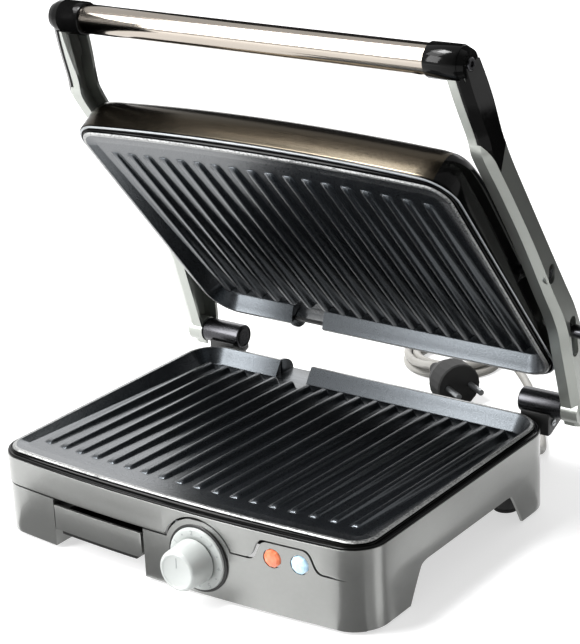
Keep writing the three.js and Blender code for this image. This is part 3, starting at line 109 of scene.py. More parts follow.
handle = {
    "y": -7, "z": 339.2, "half": 136.3, "radius": 10, "collar": 11.4, "bore": 2.7, "screwSeat": 4.5,
    "screwHole": 2, "screwIn": 5.5, "holeTurn": -0.65,  # holeTurn in radians
}
lid = {
    # drawn closed, then turned open about the pins in the arms
    "open": 50.76, "pinY": 9.4, "pinZ": 86.9, "mirror": 124.6, "half": 153.4, "top": 150, "cap": 141,
    "front": 116.6, "rear": 116.5, "bow": 9.2, "cornerFront": 20, "cornerRear": 28, "edge": 9, "low": 66.6,
    # walls, height above its foot and how much of it the end caps lose
    "steel": 1.2, "shell": 2.4, "high": 35.8, "endLoss": 0.92, "hollow": (-96.6, 88.5), "boss": 7,
}
arm = {
    # section: outer face, foot of its chamfer, inner edge, and how far the upper end leans inward
    "outer": 170.6, "shoulder": 165, "inner": 157, "web": 2.4, "chamfer": 4, "lean": 6.4, "leanFrom": 284,
    # upper end: the inlay's seat, the cap's taper, the side where the channel ends, the handle's tongue
    "sunk": 1.3, "endTaper": 2.4, "endWay": (-5, 14.2), "endReach": 22,
    "tongueY": 3.8, "tongueZ": 311.2, "tongue": 7.5,
    # bearings of the hinge and the lid, and the slot of the lock lever
    "boss": 9.5, "seat": 7.4, "hingeBore": 4.3, "pinHole": 3.9, "pinPlay": 3,
    "slotY": 112.2, "slotZ": 127.4, "slotRadius": 4, "slotHalf": 11.5, "slotTilt": 10.8,
}

lidTurn = (
    Matrix.Translation((0, pivot["y"], pivot["z"]))
    @ Matrix.Rotation(math.radians(-lid["open"]), 4, "X")
    @ Matrix.Translation((0, -lid["pinY"], -lid["pinZ"]))
)
flip = Matrix(((1, 0, 0, 0), (0, 1, 0, 0), (0, 0, -1, lid["mirror"]), (0, 0, 0, 1)))
mirror = Matrix.Scale(-1, 4, (1, 0, 0))


# Small tools for meshes, all in millimetres until a piece is finished

def meshObject(name, verts, faces):
    mesh = bpy.data.meshes.new(name)
    mesh.from_pydata([tuple(v) for v in verts], [], faces)
    shape = bmesh.new()
    shape.from_mesh(mesh)
    bmesh.ops.remove_doubles(shape, verts=shape.verts, dist=1e-4)
    bmesh.ops.recalc_face_normals(shape, faces=shape.faces)
    shape.to_mesh(mesh)
    shape.free()
    obj = bpy.data.objects.new(name, mesh)
    bpy.context.collection.objects.link(obj)
    return obj


def loops(name, rings, closed=False):
    # skin over rings of equal length
    n = len(rings[0])
    verts = [p for ring in rings for p in ring]
    faces = []
    last = len(rings) if closed else len(rings) - 1
    for r in range(last):
        a, b = r * n, ((r + 1) % len(rings)) * n
        faces += [(a + i, a + (i + 1) % n, b + (i + 1) % n, b + i) for i in range(n)]
    if not closed:
        faces.append(tuple(range(n)))
        faces.append(tuple(range((len(rings) - 1) * n, len(rings) * n)))
    return meshObject(name, verts, faces)


def settle(obj):
    bpy.context.view_layer.update()
    graph = bpy.context.evaluated_depsgraph_get()
    mesh = bpy.data.meshes.new_from_object(obj.evaluated_get(graph), depsgraph=graph)
    obj.modifiers.clear()
    obj.data = mesh
    return obj


def carve(obj, cutter, how="DIFFERENCE"):
    change = obj.modifiers.new("carve", "BOOLEAN")
    change.operation = how
    change.object = cutter
    change.solver = "MANIFOLD"
    settle(obj)
    bpy.data.objects.remove(cutter)
    return obj


def soften(obj, width, segments=2, angle=35, skip=None):
    # rounds the sharp edges; skip picks edges by their middle that stay sharp
    shape = bmesh.new()
    shape.from_mesh(obj.data)
    weight = shape.edges.layers.float.new("bevel_weight_edge")
    for edge in shape.edges:
        middle = (edge.verts[0].co + edge.verts[1].co) / 2
        sharp = len(edge.link_faces) == 2 and edge.calc_face_angle(0) > math.radians(angle)
        edge[weight] = 1 if sharp and not (skip and skip(middle)) else 0
    shape.to_mesh(obj.data)
    shape.free()
    change = obj.modifiers.new("soften", "BEVEL")
    change.width = width
    change.segments = segments
    change.limit_method = "WEIGHT"
    change.use_clamp_overlap = True
    return settle(obj)


def prism(name, outline, axis, start, end):
    # an outline pushed along X or Y
    if axis == "y":
        rings = [[(x, t, z) for x, z in outline] for t in (start, end)]
    else:
        rings = [[(t, y, z) for y, z in outline] for t in (start, end)]
    return loops(name, rings)


def block(name, x, y, z):
    return prism(name, [(y[0], z[0]), (y[1], z[0]), (y[1], z[1]), (y[0], z[1])], "x", x[0], x[1])


def lathe(name, profile, axis, spot, sides=72):
    # turned piece; the profile lists (along, radius), from axis to axis or as a ring
    ways = {"x": Vector((1, 0, 0)), "-y": Vector((0, -1, 0)), "y": Vector((0, 1, 0)), "z": Vector((0, 0, 1))}
    along = ways[axis]
    side = Vector((0, 0, 1)) if axis != "z" else Vector((1, 0, 0))
    other = along.cross(side)
    spot = Vector(spot)
    rings = []
    for t, r in profile:
        ring = []
        for i in range(sides):
            a = 2 * math.pi * i / sides
            ring.append(spot + along * t + (side * math.cos(a) + other * math.sin(a)) * max(r, 1e-5))
        rings.append(ring)
    isRing = profile[0][1] > 0 and profile[-1][1] > 0
    return loops(name, rings, closed=isRing)


def rod(name, radius, x0, x1, y, z, sides=48):
    # solid cylinder along X
    return lathe(name, [(0, 0), (0, radius), (x1 - x0, radius), (x1 - x0, 0)], "x", (x0, y, z), sides)


def arc(cx, cy, r, start, end, steps):
    angles = [start + (end - start) * i / steps for i in range(steps + 1)]
    return [(cx + r * math.cos(a), cy + r * math.sin(a)) for a in angles]


def bezierShares(t):
    # weights of the four handles of a curve at t
    return (1 - t) ** 3, 3 * t * (1 - t) ** 2, 3 * t * t * (1 - t), t ** 3


def plan(size, inset, height):
    # outline of the grill from above: round corners and a front that bows forward
    w, front, rear = size["half"] - inset, -size["front"] + inset, size["rear"] - inset
    rf, rr = max(size["cornerFront"] - inset, 1), max(size["cornerRear"] - inset, 1)
    # every outline has as many points as any other, so that they can be joined by a skin
    flat = arc(-w + rf, front + rf, rf, math.pi, 1.5 * math.pi, 12)
    flat += [(-w + rf + 2 * (w - rf) * i / 24, front) for i in range(1, 24)]
    flat += arc(w - rf, front + rf, rf, -math.pi / 2, 0, 12)
    flat += arc(w - rr, rear - rr, rr, 0, math.pi / 2, 14)
    flat += arc(-w + rr, rear - rr, rr, math.pi / 2, math.pi, 14)
    ring = []
    for x, y in flat:
        swell = 0
        if y < front + rf:
            swell = size["bow"] * (1 - (x / w) ** 2) * min(1, (front + rf - y) / rf)
        ring.append(Vector((x, y - swell, height(y) if callable(height) else height)))
    return ring


def stack(name, rows, closed=False):
    return loops(name, [plan(size, inset, z) for size, inset, z in rows], closed)


def spline(points, steps):
    # smooth curve through points of any dimension
    out = []
    for i in range(len(points) - 1):
        p0, p1 = points[max(i - 1, 0)], points[i]
        p2, p3 = points[i + 1], points[min(i + 2, len(points) - 1)]
        for k in range(steps):
            t = k / steps
            point = []
            for a, b, c, d in zip(p0, p1, p2, p3):
                square, cube = 2 * a - 5 * b + 4 * c - d, 3 * b - a - 3 * c + d
                point.append(0.5 * (2 * b + (c - a) * t + square * t * t + cube * t ** 3))
            out.append(tuple(point))
    out.append(tuple(points[-1]))
    return out


# Materials

def hexColor(code):
    # sRGB hex to linear
    parts = [int(code[i:i + 2], 16) / 255 for i in (1, 3, 5)]
    return tuple(c / 12.92 if c <= 0.04045 else ((c + 0.055) / 1.055) ** 2.4 for c in parts) + (1,)


def addNode(tree, kind, settings=None, **values):
    # values are numbers, colours or sockets for the node's inputs, named, or i0, i1 by place
    node = tree.nodes.new(kind)
    for key, value in (settings or {}).items():
        setattr(node, key, value)
    for key, value in values.items():
        place = int(key[1:]) if key[0] == "i" and key[1:].isdigit() else key.replace("_", " ")
        if isinstance(value, bpy.types.NodeSocket):
            tree.links.new(value, node.inputs[place])
        else:
            node.inputs[place].default_value = value
    return node


def emptyMaterial(name):
    mat = bpy.data.materials.new(name)
    mat.use_nodes = True
    mat.node_tree.nodes.clear()
    return mat, mat.node_tree


def makeMaterial(name, recipe):
    # finish with drifting colour, uneven gloss and a fine relief; its sizes are in millimetres
    mat, tree = emptyMaterial(name)
    spot = addNode(tree, "ShaderNodeTexCoord").outputs["Object"]
    grain = [1000 / g for g in recipe["grain"]]
    stretched = addNode(tree, "ShaderNodeMapping", i0=spot, Scale=grain).outputs[0]
    detail, wide = recipe.get("detail", 3), 1000 / recipe["drift"]
    fine = addNode(tree, "ShaderNodeTexNoise", i0=stretched, Scale=1.0, Detail=detail).outputs["Fac"]
    drift = addNode(tree, "ShaderNodeTexNoise", i0=spot, Scale=wide, Detail=2).outputs["Fac"]
    blend = {"operation": "MULTIPLY_ADD"}
    mixed = addNode(tree, "ShaderNodeMath", blend, i0=fine, i1=recipe["fineShare"], i2=drift).outputs[0]
    low, high = recipe.get("spread", (0.3, 0.7 + recipe["fineShare"]))
    tone = addNode(tree, "ShaderNodeMapRange", i0=mixed, i1=low, i2=high).outputs[0]
    dark, light = hexColor(recipe["dark"]), hexColor(recipe["light"])
    color = addNode(tree, "ShaderNodeMix", {"data_type": "RGBA"}, i0=tone, i6=dark, i7=light).outputs[2]
    low, high = recipe["rough"]
    rough = addNode(tree, "ShaderNodeMapRange", i0=fine, i1=0.3, i2=0.7, i3=low, i4=high).outputs[0]
    metal = recipe.get("metal", 0)
    shader = addNode(tree, "ShaderNodeBsdfPrincipled", Base_Color=color, Roughness=rough, Metallic=metal)
    for key, value in recipe.get("extra", {}).items():
        shader.inputs[key].default_value = value
    if "glow" in recipe:
        shader.inputs["Emission Color"].default_value = hexColor(recipe["glow"][0])
        shader.inputs["Emission Strength"].default_value = recipe["glow"][1]
    if recipe.get("relief"):
        bump = addNode(tree, "ShaderNodeBump", Height=fine, Distance=recipe["relief"] / 1000, Strength=1.0)
        tree.links.new(bump.outputs[0], shader.inputs["Normal"])
    addNode(tree, "ShaderNodeOutputMaterial", Surface=shader.outputs[0])
    return mat


finishes = {
    # sheet steel under a metallic grey lacquer: soft broad reflections, hardly any grain
    "lacqueredSteel": {
        "dark": "#868785", "light": "#939492", "metal": 0.85, "rough": (0.276, 0.3), "grain": (3, 3, 3),
        "drift": 60, "fineShare": 0.3, "extra": {"Coat Weight": 0.3, "Coat Roughness": 0.12},
    },
    # die-cast arms in a metallic lacquer: lighter and a little more matt
    "lacqueredArms": {
        "dark": "#9ea19c", "light": "#a8aba6", "metal": 0.78, "rough": (0.28, 0.32), "grain": (5, 5, 5),
        "drift": 50, "fineShare": 0.3, "extra": {"Coat Weight": 0.1, "Coat Roughness": 0.3},
    },
    # cast aluminium with a sprayed PTFE coating: dark satin, its texture drawn coarser so that it shows
    "ptfeCoating": {
        "dark": "#060708", "light": "#0e0f11", "rough": (0.24, 0.34), "grain": (0.6, 0.6, 0.6), "drift": 25,
        "fineShare": 0.5, "relief": 0.02,
        "extra": {"Specular IOR Level": 0.85, "Specular Tint": (0.84, 0.92, 1, 1)},
    },
    # bright metal of broken light and dark tone round the plate's edge, standing in for the highlight along
    # the black lip: painted highlight
    "lipHighlightMetal": {
        "dark": "#303132", "light": "#b4b5b4", "metal": 0.8, "rough": (0.26, 0.5), "grain": (1.2, 1.2, 1.2),
        "drift": 40, "fineShare": 2.0, "detail": 3, "spread": (0.9, 2.0),
    },
    # moulded and polished ABS: black with mirror-like lights
    "glossAbs": {
        "dark": "#060606", "light": "#0a0a0a", "rough": (0.07, 0.12), "grain": (2, 2, 2), "drift": 40,
        "fineShare": 0.2, "extra": {"Specular IOR Level": 0.1},
    },
    # moulded ABS with a fine spark-eroded texture: black without lights
    "satinAbs": {
        "dark": "#0c0c0c", "light": "#121212", "rough": (0.38, 0.5), "grain": (0.35, 0.35, 0.35),
        "drift": 30, "fineShare": 0.4, "relief": 0.01,
    },
    # brushed stainless sheet: fine lines along X, about three times as coarse as real ones so that they show
    "brushedSheet": {
        "dark": "#37332b", "light": "#474138", "metal": 1, "rough": (0.17, 0.27), "grain": (90, 0.3, 0.3),
        "drift": 300, "fineShare": 0.8, "relief": 0.004, "detail": 4,
    },
    # drawn and polished stainless tube: sharp lights with faint lines along it
    "polishedTube": {
        "dark": "#968f86", "light": "#a59d94", "metal": 1, "rough": (0.08, 0.14), "grain": (70, 0.4, 0.4),
        "drift": 80, "fineShare": 0.6, "relief": 0.002,
    },
    # silver-sprayed ABS of the dial: pale with a dull shine
    "silverAbs": {
        "dark": "#adb1af", "light": "#b9bdbb", "metal": 0.1, "rough": (0.32, 0.38), "grain": (0.3, 0.3, 0.3),
        "drift": 20, "fineShare": 0.3, "extra": {"Coat Weight": 0.2, "Coat Roughness": 0.2},
    },
    # zinc-plated steel of screws, pins and inner parts, also used for the bead that paints the trim's
    # highlight: grey with blurred lights
    "platedSteel": {
        "dark": "#8f9294", "light": "#a7aaac", "metal": 1, "rough": (0.25, 0.4), "grain": (0.4, 0.4, 0.4),
        "drift": 8, "fineShare": 0.5,
    },
    # moulded rubber of feet, plug and cord grommet: dull black
    "mouldedRubber": {
        "dark": "#141414", "light": "#1f1f1f", "rough": (0.62, 0.78), "grain": (0.4, 0.4, 0.4), "drift": 15,
        "fineShare": 0.4, "relief": 0.01,
    },
    # PVC sheath of the mains cord: pale grey with a dull shine
    "pvcSheath": {
        "dark": "#8f8d88", "light": "#a09e99", "rough": (0.36, 0.48), "grain": (0.7, 0.7, 0.7), "drift": 20,
        "fineShare": 0.4, "relief": 0.008,
    },
    # steel plated with dark chrome: deep blacks beside bright lights
    "darkChrome": {
        "dark": "#3a3a3c", "light": "#464649", "metal": 1, "rough": (0.24, 0.32), "grain": (0.5, 0.5, 0.5),
        "drift": 12, "fineShare": 0.4,
    },
    # printed grey marks on the dial
    "greyInk": {
        "dark": "#8b8f90", "light": "#979b9c", "rough": (0.5, 0.6), "grain": (0.3, 0.3, 0.3), "drift": 10,
        "fineShare": 0.3,
    },
    # moulded clear polycarbonate over a red lamp, which glows a little
    "redLens": {
        "dark": "#cf5a3c", "light": "#ea8a66", "rough": (0.05, 0.1), "grain": (1.5, 1.5, 1.5), "drift": 4,
        "fineShare": 0.3, "glow": ("#ff9a70", 0.22), "extra": {"Specular IOR Level": 0.7},
    },
    # the same, pale blue
    "blueLens": {
        "dark": "#9cc6e2", "light": "#d3ebf8", "rough": (0.05, 0.1), "grain": (1.5, 1.5, 1.5), "drift": 4,
        "fineShare": 0.3, "glow": ("#bfe4ff", 0.3), "extra": {"Specular IOR Level": 0.7},
    },
}
mats = {name: makeMaterial(name, recipe) for name, recipe in finishes.items()}


def finish(obj, material, body, replaced=(), place=None, sharp=32):
    # moves a piece to its place in metres, gives it its finish and lets it ride on its body
    full = Matrix.Scale(0.001, 4) @ Matrix.Translation(shift) @ (place or Matrix.Identity(4))
    obj.data.transform(full)
    if full.determinant() < 0:
        obj.data.flip_normals()
    mesh = obj.data
    mesh.shade_smooth()
    mesh.set_sharp_from_angle(angle=math.radians(sharp))
    mesh.materials.clear()
    mesh.materials.append(mats[material])
    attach(obj, body)
    if replaced:
        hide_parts(*([replaced] if isinstance(replaced, str) else replaced))
    return obj


def twin(obj, name):
    # a copy for the other side or place
    other = obj.copy()
    other.data = obj.data.copy()
    other.name = name
    bpy.context.collection.objects.link(other)
    return other


def pair(obj, name, material, body, replaced, place=None, sharp=32):
    # the right piece and its mirror image on the left
    left = twin(obj, name + "Left")
    obj.name = name + "Right"
    finish(obj, material, body, [r + "_right" for r in replaced], place, sharp)
    mirrored = (place or Matrix.Identity(4)) @ mirror
    finish(left, material, body, [r + "_left" for r in replaced], mirrored, sharp)


# Mains cord, coiled behind the grill, with its plug

cord = {
    "radius": 3.25,
    # out of the housing through the strain relief and down to the table
    "exitX": 112, "exitZ": 15, "exitY": 148.1, "hole": 4.5, "rest": 3.45,
    "fallLeft": 9, "fallBack": 41.7, "landWay": (-9, 14, 0), "ahead": 26,
    # coil: turns inward on the table, a climb, and turns outward on top of them
    "pitch": 7.2, "inner": 29.8, "turnsIn": 1.75, "climb": 0.5, "turnsOut": 1.28,
    "dip": 0.18, "straight": 6.5,
    # plug: middle of its rear end, its heading in degrees from +X, distance from the coil
    "plug": (-26, 247.5, 18.4), "turn": -32.7, "tail": 44,
}


def cordRoute():
    # from the strain relief down to the table, round the coil and up to the plug
    heading = math.radians(cord["turn"])
    ahead = Vector((math.cos(heading), math.sin(heading), 0))
    leftward = Vector((-math.sin(heading), math.cos(heading), 0))
    plug = Vector(cord["plug"])
    coilEnd = Vector((plug.x, plug.y, 0)) - ahead * cord["tail"]
    centre = coilEnd + leftward * (cord["inner"] + cord["pitch"] * cord["turnsOut"])
    turns = cord["turnsIn"] + cord["climb"] + cord["turnsOut"]
    count = round(turns * 24)
    last = heading - math.pi / 2
    coil = []
    for i in range(count + 1):
        turn = turns * i / count
        angle = last - 2 * math.pi * (turns - turn)
        out = max(0, turn - cord["turnsIn"] - cord["climb"])
        left = max(0, cord["turnsIn"] - turn)
        climb = min(1, max(0, (turn - cord["turnsIn"]) / cord["climb"]))
        r = cord["inner"] + cord["pitch"] * (out + left - cord["dip"] * math.sin(math.pi * climb))
        lift = cord["pitch"] * (0.5 - 0.5 * math.cos(math.pi * climb))
        x, y = centre.x + r * math.cos(angle), centre.y + r * math.sin(angle)
        coil.append(Vector((x, y, cord["radius"] + lift)))
    first = last - 2 * math.pi * turns
    backward = Vector((math.sin(first), -math.cos(first), 0))
    coil.insert(0, coil[0] + backward * cord["straight"])
    coil.append(coil[-1] + ahead * cord["straight"])
    into = (coil[1] - coil[0]).normalized()
    y0, z0, rest = cord["exitY"], cord["exitZ"], cord["rest"]
    # from the strain relief to the table: shares of the way left, of the way back and of the height
    drop = [(0, 0, 1), (0, 0.17, 0.96), (0.07, 0.38, 0.69), (0.33, 0.67, 0.15), (1, 1, 0)]
    x0, left, behind = cord["exitX"], cord["fallLeft"], cord["fallBack"]
    route = [Vector((x0 - left * a, y0 + behind * b, rest + (z0 - rest) * c)) for a, b, c in drop]
    landing = route[-1]
    before = coil[0] - into * cord["ahead"]
    reach = (landing - before).length
    landed = Vector(cord["landWay"]).normalized()
    handles = (landing, landing + landed * 0.42 * reach, before - into * 0.3 * reach, before)
    for k in range(1, 6):
        route.append(sum((h * s for h, s in zip(handles, bezierShares(k / 5))), Vector()))
    route += coil
    end = coil[-1]
    far = (Vector((plug.x, plug.y, 0)) - Vector((end.x, end.y, 0))).length
    route.append(end + ahead * far / 2 + Vector((0, 0, (plug.z - end.z) / 2)))
    route.append(Vector((plug.x, plug.y, plug.z)) - ahead * 6.5 - Vector((0, 0, 0.2)))
    route.append(plug + ahead * 3)
    return route


def makeCord():
    points = [Vector(p) for p in spline([tuple(p) for p in cordRoute()], 4)]
    points = [(p + shift) / 1000 for p in points]
    length = sum((b - a).length for a, b in zip(points, points[1:]))
    data = bpy.data.curves.new("mainsCord", "CURVE")
    data.dimensions = "3D"
    data.bevel_depth = cord["radius"] / 1000
    data.bevel_resolution = 6
    data.use_fill_caps = True
    line = data.splines.new("POLY")
    line.points.add(len(points) - 1)
    for point, place in zip(line.points, points):
        point.co = (*place, 1)
    line.use_smooth = True
    data.materials.append(mats["pvcSheath"])
    obj = bpy.data.objects.new("mainsCord", data)
    bpy.context.collection.objects.link(obj)
    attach(obj, "base")
    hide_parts("power_cord", "cord_coil", "plug_tail")
    print("cord length", round(length, 4))
    return obj, points, length


mainsCord, cordPoints, cordLength = makeCord()
print("cord laid")


# Base housing, fascia and leg cover

fascia = {
    "top": 37, "lampTop": 51.4, "seam": 1.6, "leftEnd": -150.8, "rightEnd": 147.7,
    "trayLeft": -98.8, "trayRight": -17.2,
    # along X: the seam rises over the lamps, falls and fades out where the face comes flush
    "rise": (67, 82), "fall": (107, 122), "fade": (126, 140), "flushFrom": 112,
    "return": 2.2, "returnDepth": 14, "chamfer": 1.4, "shaftHole": 4.2, "lampRoom": 0.4,
}


def easeCurve(x0, x1, z0, z1):
    # soft step from one height to another
    out = []
    run = 0.6 * (x1 - x0)
    for k in range(17):
        share = bezierShares(k / 16)
        x = sum(p * q for p, q in zip((x0, x0 + run, x1 - run, x1), share))
        z = sum(p * q for p, q in zip((z0, z0, z1, z1), share))
        out.append((x, z))
    return out


def frontOutline(grow, left, right):
    # outline of the lower fascia from the front, with its rises round the dial and over the lamps
    top = fascia["top"] + grow
    outline = [(left, -5), (left, top)]
    if right > dial["x"]:
        r = dial["arc"] + grow
        start = math.atan2(top - dial["z"], -math.sqrt(r * r - (top - dial["z"]) ** 2))
        outline += arc(dial["x"], dial["z"], r, start, math.pi - start, 48)
        (rise0, rise1), (fall0, fall1) = fascia["rise"], fascia["fall"]
        outline += easeCurve(rise0 - grow, rise1 - grow, top, fascia["lampTop"] + grow)
        outline += easeCurve(fall0 + grow, fall1 + grow, fascia["lampTop"] + grow, top)
        fade0, fade1 = fascia["fade"]
        return outline + [(fade0, top), (fade1, fascia["top"]), (right, fascia["top"]), (right, -5)]
    return outline + [(right, top), (right, -5)]


# from before the front to behind it, for cuts through it
frontDepth = (-housing["front"] - housing["bow"] - 5, -housing["front"] + housing["cornerFront"])


def notchSpan(room):
    # left and right of the drain notch, widened by some room
    return plate["notchLeft"] - room, plate["notchRight"] + room


def makeHousing():
    h = housing
    edge = h["edge"]
    rows = [(h, 0.5, h["bottom"]), (h, 0, h["bottom"] + 0.5), (h, 0, 20), (h, 0, 40)]
    rows.append((h, 0, h["top"] - edge))
    for k in range(1, 6):
        a = math.pi / 2 * k / 5
        rows.append((h, edge * (1 - math.cos(a)), h["top"] - edge * (1 - math.sin(a))))
    wall, under = h["wall"], h["top"] - h["wall"]
    rows += [(plate, h["opening"], h["top"]), (plate, h["opening"], under), (h, wall, under)]
    rows += [(h, wall, h["bottom"] + 0.4), (h, wall - 0.4, h["bottom"])]
    shell = stack("housingShell", rows, closed=True)
    cut = frontOutline(fascia["seam"], fascia["leftEnd"] - 0.2, fascia["rightEnd"])
    carve(shell, prism("frontCut", cut, "y", *frontDepth))
    y0, y1, slope, top = h["archFront"], h["archRear"], h["archSlope"], h["archTop"]
    side = [(-y0 - 4, -5), (-y0, 2.2)]
    side += spline([(-y0 + 6, 13), (-y0 + slope, top - 4.5), (-y0 + 15, top - 1.2), (-y0 + 20, top)], 6)
    side += spline([(y1 - 20, top), (y1 - 15, top - 1.2), (y1 - slope, top - 4.5), (y1 - 6, 13)], 6)
    side += [(y1, 2.2), (y1 + 4, -5)]
    carve(shell, prism("sideCut", side, "x", -h["half"] - 5, h["half"] + 5))
    w = h["archHalf"]
    rear = [(-w, -5), (w, -5), (w, 2.2), (w - slope, top), (-w + slope, top), (-w, 2.2)]
    carve(shell, prism("rearCut", rear, "y", h["rear"] - h["cornerRear"], h["rear"] + 5))
    rows = [(0, 0), (0, cord["hole"]), (10, cord["hole"]), (10, 0)]
    carve(shell, lathe("cordCut", rows, "y", (cord["exitX"], h["rear"] - 5, cord["exitZ"]), 32))
    depth, low = (plate["rear"] - 6, h["rear"] + 5), plate["floorRear"] - plate["skin"]
    carve(shell, block("spoutCut", notchSpan(plate["spoutRoom"]), depth, (low, 75)))

    def atFade(middle):
        return middle.x > fascia["fade"][1] - 2 and middle.y < -60 and middle.z < fascia["top"] + 1

    soften(shell, 0.45, 3, 40, atFade)
    finish(shell, "lacqueredSteel", "base", "base_housing", sharp=28)


def fasciaSkin(name):
    # lies a little behind the housing's face and comes flush with it towards the right corner
    h = housing
    p = h["proud"]
    flush = plan(h, 0, 0)
    rings = []
    rows = [(p, h["bottom"]), (p, 20), (p, 40), (p, h["top"] - 4)]
    rows += [(p + h["wall"], h["top"] - 4), (p + h["wall"], h["bottom"])]
    start = fascia["flushFrom"]
    for inset, z in rows:
        ring = []
        for point, out in zip(plan(h, inset, z), flush):
            t = min(1, max(0, (point.x - start) / (fascia["fade"][1] - start)))
            share = t * t * (3 - 2 * t)
            move = (out - point) * share if inset == p else Vector()
            ring.append(point + Vector((move.x, move.y, 0)))
        rings.append(ring)
    return loops(name, rings, closed=True)


def faceAt(x):
    # where the fascia's face lies
    w = housing["half"] - housing["proud"]
    return -(housing["front"] - housing["proud"]) - housing["bow"] * (1 - (x / w) ** 2)


def fasciaPiece(name, left, right, edge, inward, holes, replaced):
    # a length of the skin with a wall at its edge beside the tray
    skin = fasciaSkin(name)
    carve(skin, prism("cut", frontOutline(0, left, right), "y", *frontDepth), "INTERSECT")
    for x, z, radius, sides in holes:
        rows = [(0, 0), (0, radius), (40, radius), (40, 0)]
        carve(skin, lathe("cut", rows, "y", (x, frontDepth[0], z), sides))
    depth = (faceAt(edge) + 1, -housing["front"] + fascia["returnDepth"])
    span = sorted((edge, edge + inward))
    carve(skin, block("wall", span, depth, (housing["bottom"], fascia["top"])), "UNION")
    end, top = fascia["fade"][1] - 2, fascia["top"]
    soften(skin, fascia["chamfer"], 3, 40, lambda m: m.x > end or m.z < top - 0.1)
    soften(skin, 0.35, 2, 40, lambda m: m.x > end or m.z > top - 2)
    finish(skin, "lacqueredSteel", "base", replaced, sharp=28)


def makeFascia():
    left, right, wall = fascia["trayRight"], fascia["trayLeft"], fascia["return"]
    holes = [(dial["x"], dial["z"], fascia["shaftHole"], 24)]
    holes += [(x, lamps["z"], lamps["radius"] + fascia["lampRoom"], 48) for x in lamps["x"]]
    fasciaPiece("frontFascia", left, fascia["rightEnd"], left, wall, holes, "front_fascia")
    fasciaPiece("legCover", fascia["leftEnd"], right, right, -wall, [], "leg_cover")


makeHousing()
makeFascia()
print("housing made")


# Trim rings and cooking plates

def alongRibs(front, rear, y):
    # height at y of what slopes evenly from the ribs' front end to their rear
    return front + (rear - front) * (y + plate["ribHalf"]) / (2 * plate["ribHalf"])


def floorAt(y):
    return alongRibs(plate["floorFront"], plate["floorRear"], y)


def crestAt(y):
    return alongRibs(plate["crestFront"], plate["crestRear"], y)


def trimRing(name):
    # black trim round the plate, lying on the edge of the housing
    z = housing["top"] + 0.3
    outside = [(0.6, -0.25), (0.35, 0), (0.35, 0.5), (0.55, 0.9), (0.9, 1.15), (1.4, 1.3)]
    outside += [(2.0, 1.2), (2.3, 0.9), (2.6, 0.5)]
    inside = [(-1.0, 0.5), (-0.75, 1.4), (-0.4, 1.75), (1.4, 1.75), (1.4, 0)]
    rows = [(housing, inset, z + lift) for inset, lift in outside]
    rows += [(plate, inset, z + lift) for inset, lift in inside]
    return stack(name, rows, closed=True)


def trimHighlightBead(name):
    # a grey steel bead along the crest of the black trim that paints the highlight on its rounded edge
    z = housing["top"] + 0.3
    section = [(0.45, 0.6), (0.3, 0.75), (0.85, 1.3), (1.5, 1.42), (1.75, 1.36), (1.75, 1.0)]
    return stack(name, [(housing, inset, z + lift) for inset, lift in section], closed=True)


def spoutGap(piece):
    # the trim leaves room for the spout
    depth, low = (plate["rear"] - 6, housing["rear"] + 5), floorAt(plate["rear"]) - 2.2
    return carve(piece, block("cut", notchSpan(plate["spoutRoom"]), depth, (low, 75)))


def castPlate(name):
    # the coated plate without its ribs: lip, walls, sloping floor and the drain notch
    top, skin = plate["lipTop"], plate["skin"]
    lip = top - plate["lip"]
    out = plate["wallOut"]

    def under(y):
        return floorAt(y) - skin

    rows = [(13, under), (out + 2, under)]
    rows += [(out + 0.6, lambda y: under(y) + 0.5), (out, lambda y: under(y) + 2)]
    rows += [(out, lambda y: max(lip - 0.4, under(y) + 2.1)), (out - 0.4, lip), (0.3, lip)]
    rows += [(0.05, lip + 0.25), (0, lip + 0.6), (0.12, top - 0.7), (0.4, top - 0.4), (0.8, top - 0.18)]
    rows += [(1.4, top - 0.04), (2.0, top), (2.6, top - 0.03), (2.9, top - 0.06)]
    # the wall falls from the lip to the floor, each row by its share of the depth
    shares = [(3.1, 0.03), (3.3, 0.06), (5.5, 0.34), (8.3, 0.7), (10, 0.94)]
    shares += [(10.3, 0.98), (10.8, 1), (13, 1)]
    for inset, share in shares:
        rows.append((inset, lambda y, s=share: top - 0.05 - (top - 0.05 - min(floorAt(y), top - 0.06)) * s))
    body = stack(name, [(plate, inset, z) for inset, z in rows])
    bottom = floorAt(plate["rear"]) + plate["notchFloor"]
    (left, right), rear = notchSpan(0), plate["rear"]
    carve(body, block("notch", (left, right), (rear - 12, rear + 5), (bottom - 0.4, top + 5)))
    soften(body, 0.35, 2, 50)
    start, back, base = rear - 1.5, housing["rear"] + plate["spoutPast"], bottom - 2.2

    def cheek(high, x0, x1):
        # side of the spout, falling off in a round curve towards the rear
        low = bottom + 0.5
        falls = [math.pi / 2 * k / 9 for k in range(10)]
        curve = [(start + (back - start) * math.sin(t), low + (high - low) * math.cos(t)) for t in falls]
        return prism("cheek", [(start, base), *curve, (back, base)], "x", x0, x1)

    spout = cheek(top - 0.15, left - plate["spoutWall"], left + 0.05)
    carve(spout, cheek(top - 3, right - 0.05, right + plate["spoutWall"]), "UNION")
    carve(spout, block("spoutFloor", notchSpan(0.5), (rear - 14, back), (base, bottom)), "UNION")
    soften(spout, 0.5, 3, 35)
    return carve(body, spout, "UNION")


def lipHighlightBead(name):
    # a metal bead round the plate's edge that paints the highlight along the black lip
    top = plate["lipTop"]
    lip = top - plate["lip"]
    section = [(0.8, lip + 0.4), (0.02, lip + 0.45), (-0.2, lip + 0.65), (-0.2, top - 0.9)]
    section += [(0.62, top - 0.08), (0.95, top + 0.03), (1.4, top + 0.08), (2.1, top + 0.08)]
    section += [(2.5, top + 0.02), (2.5, top - 0.4)]
    bead = stack(name, [(plate, inset, z) for inset, z in section], closed=True)
    depth = (plate["rear"] - 10, plate["rear"] + 5)
    return carve(bead, block("cut", notchSpan(0.3), depth, (plate["floorRear"], top + 5)))


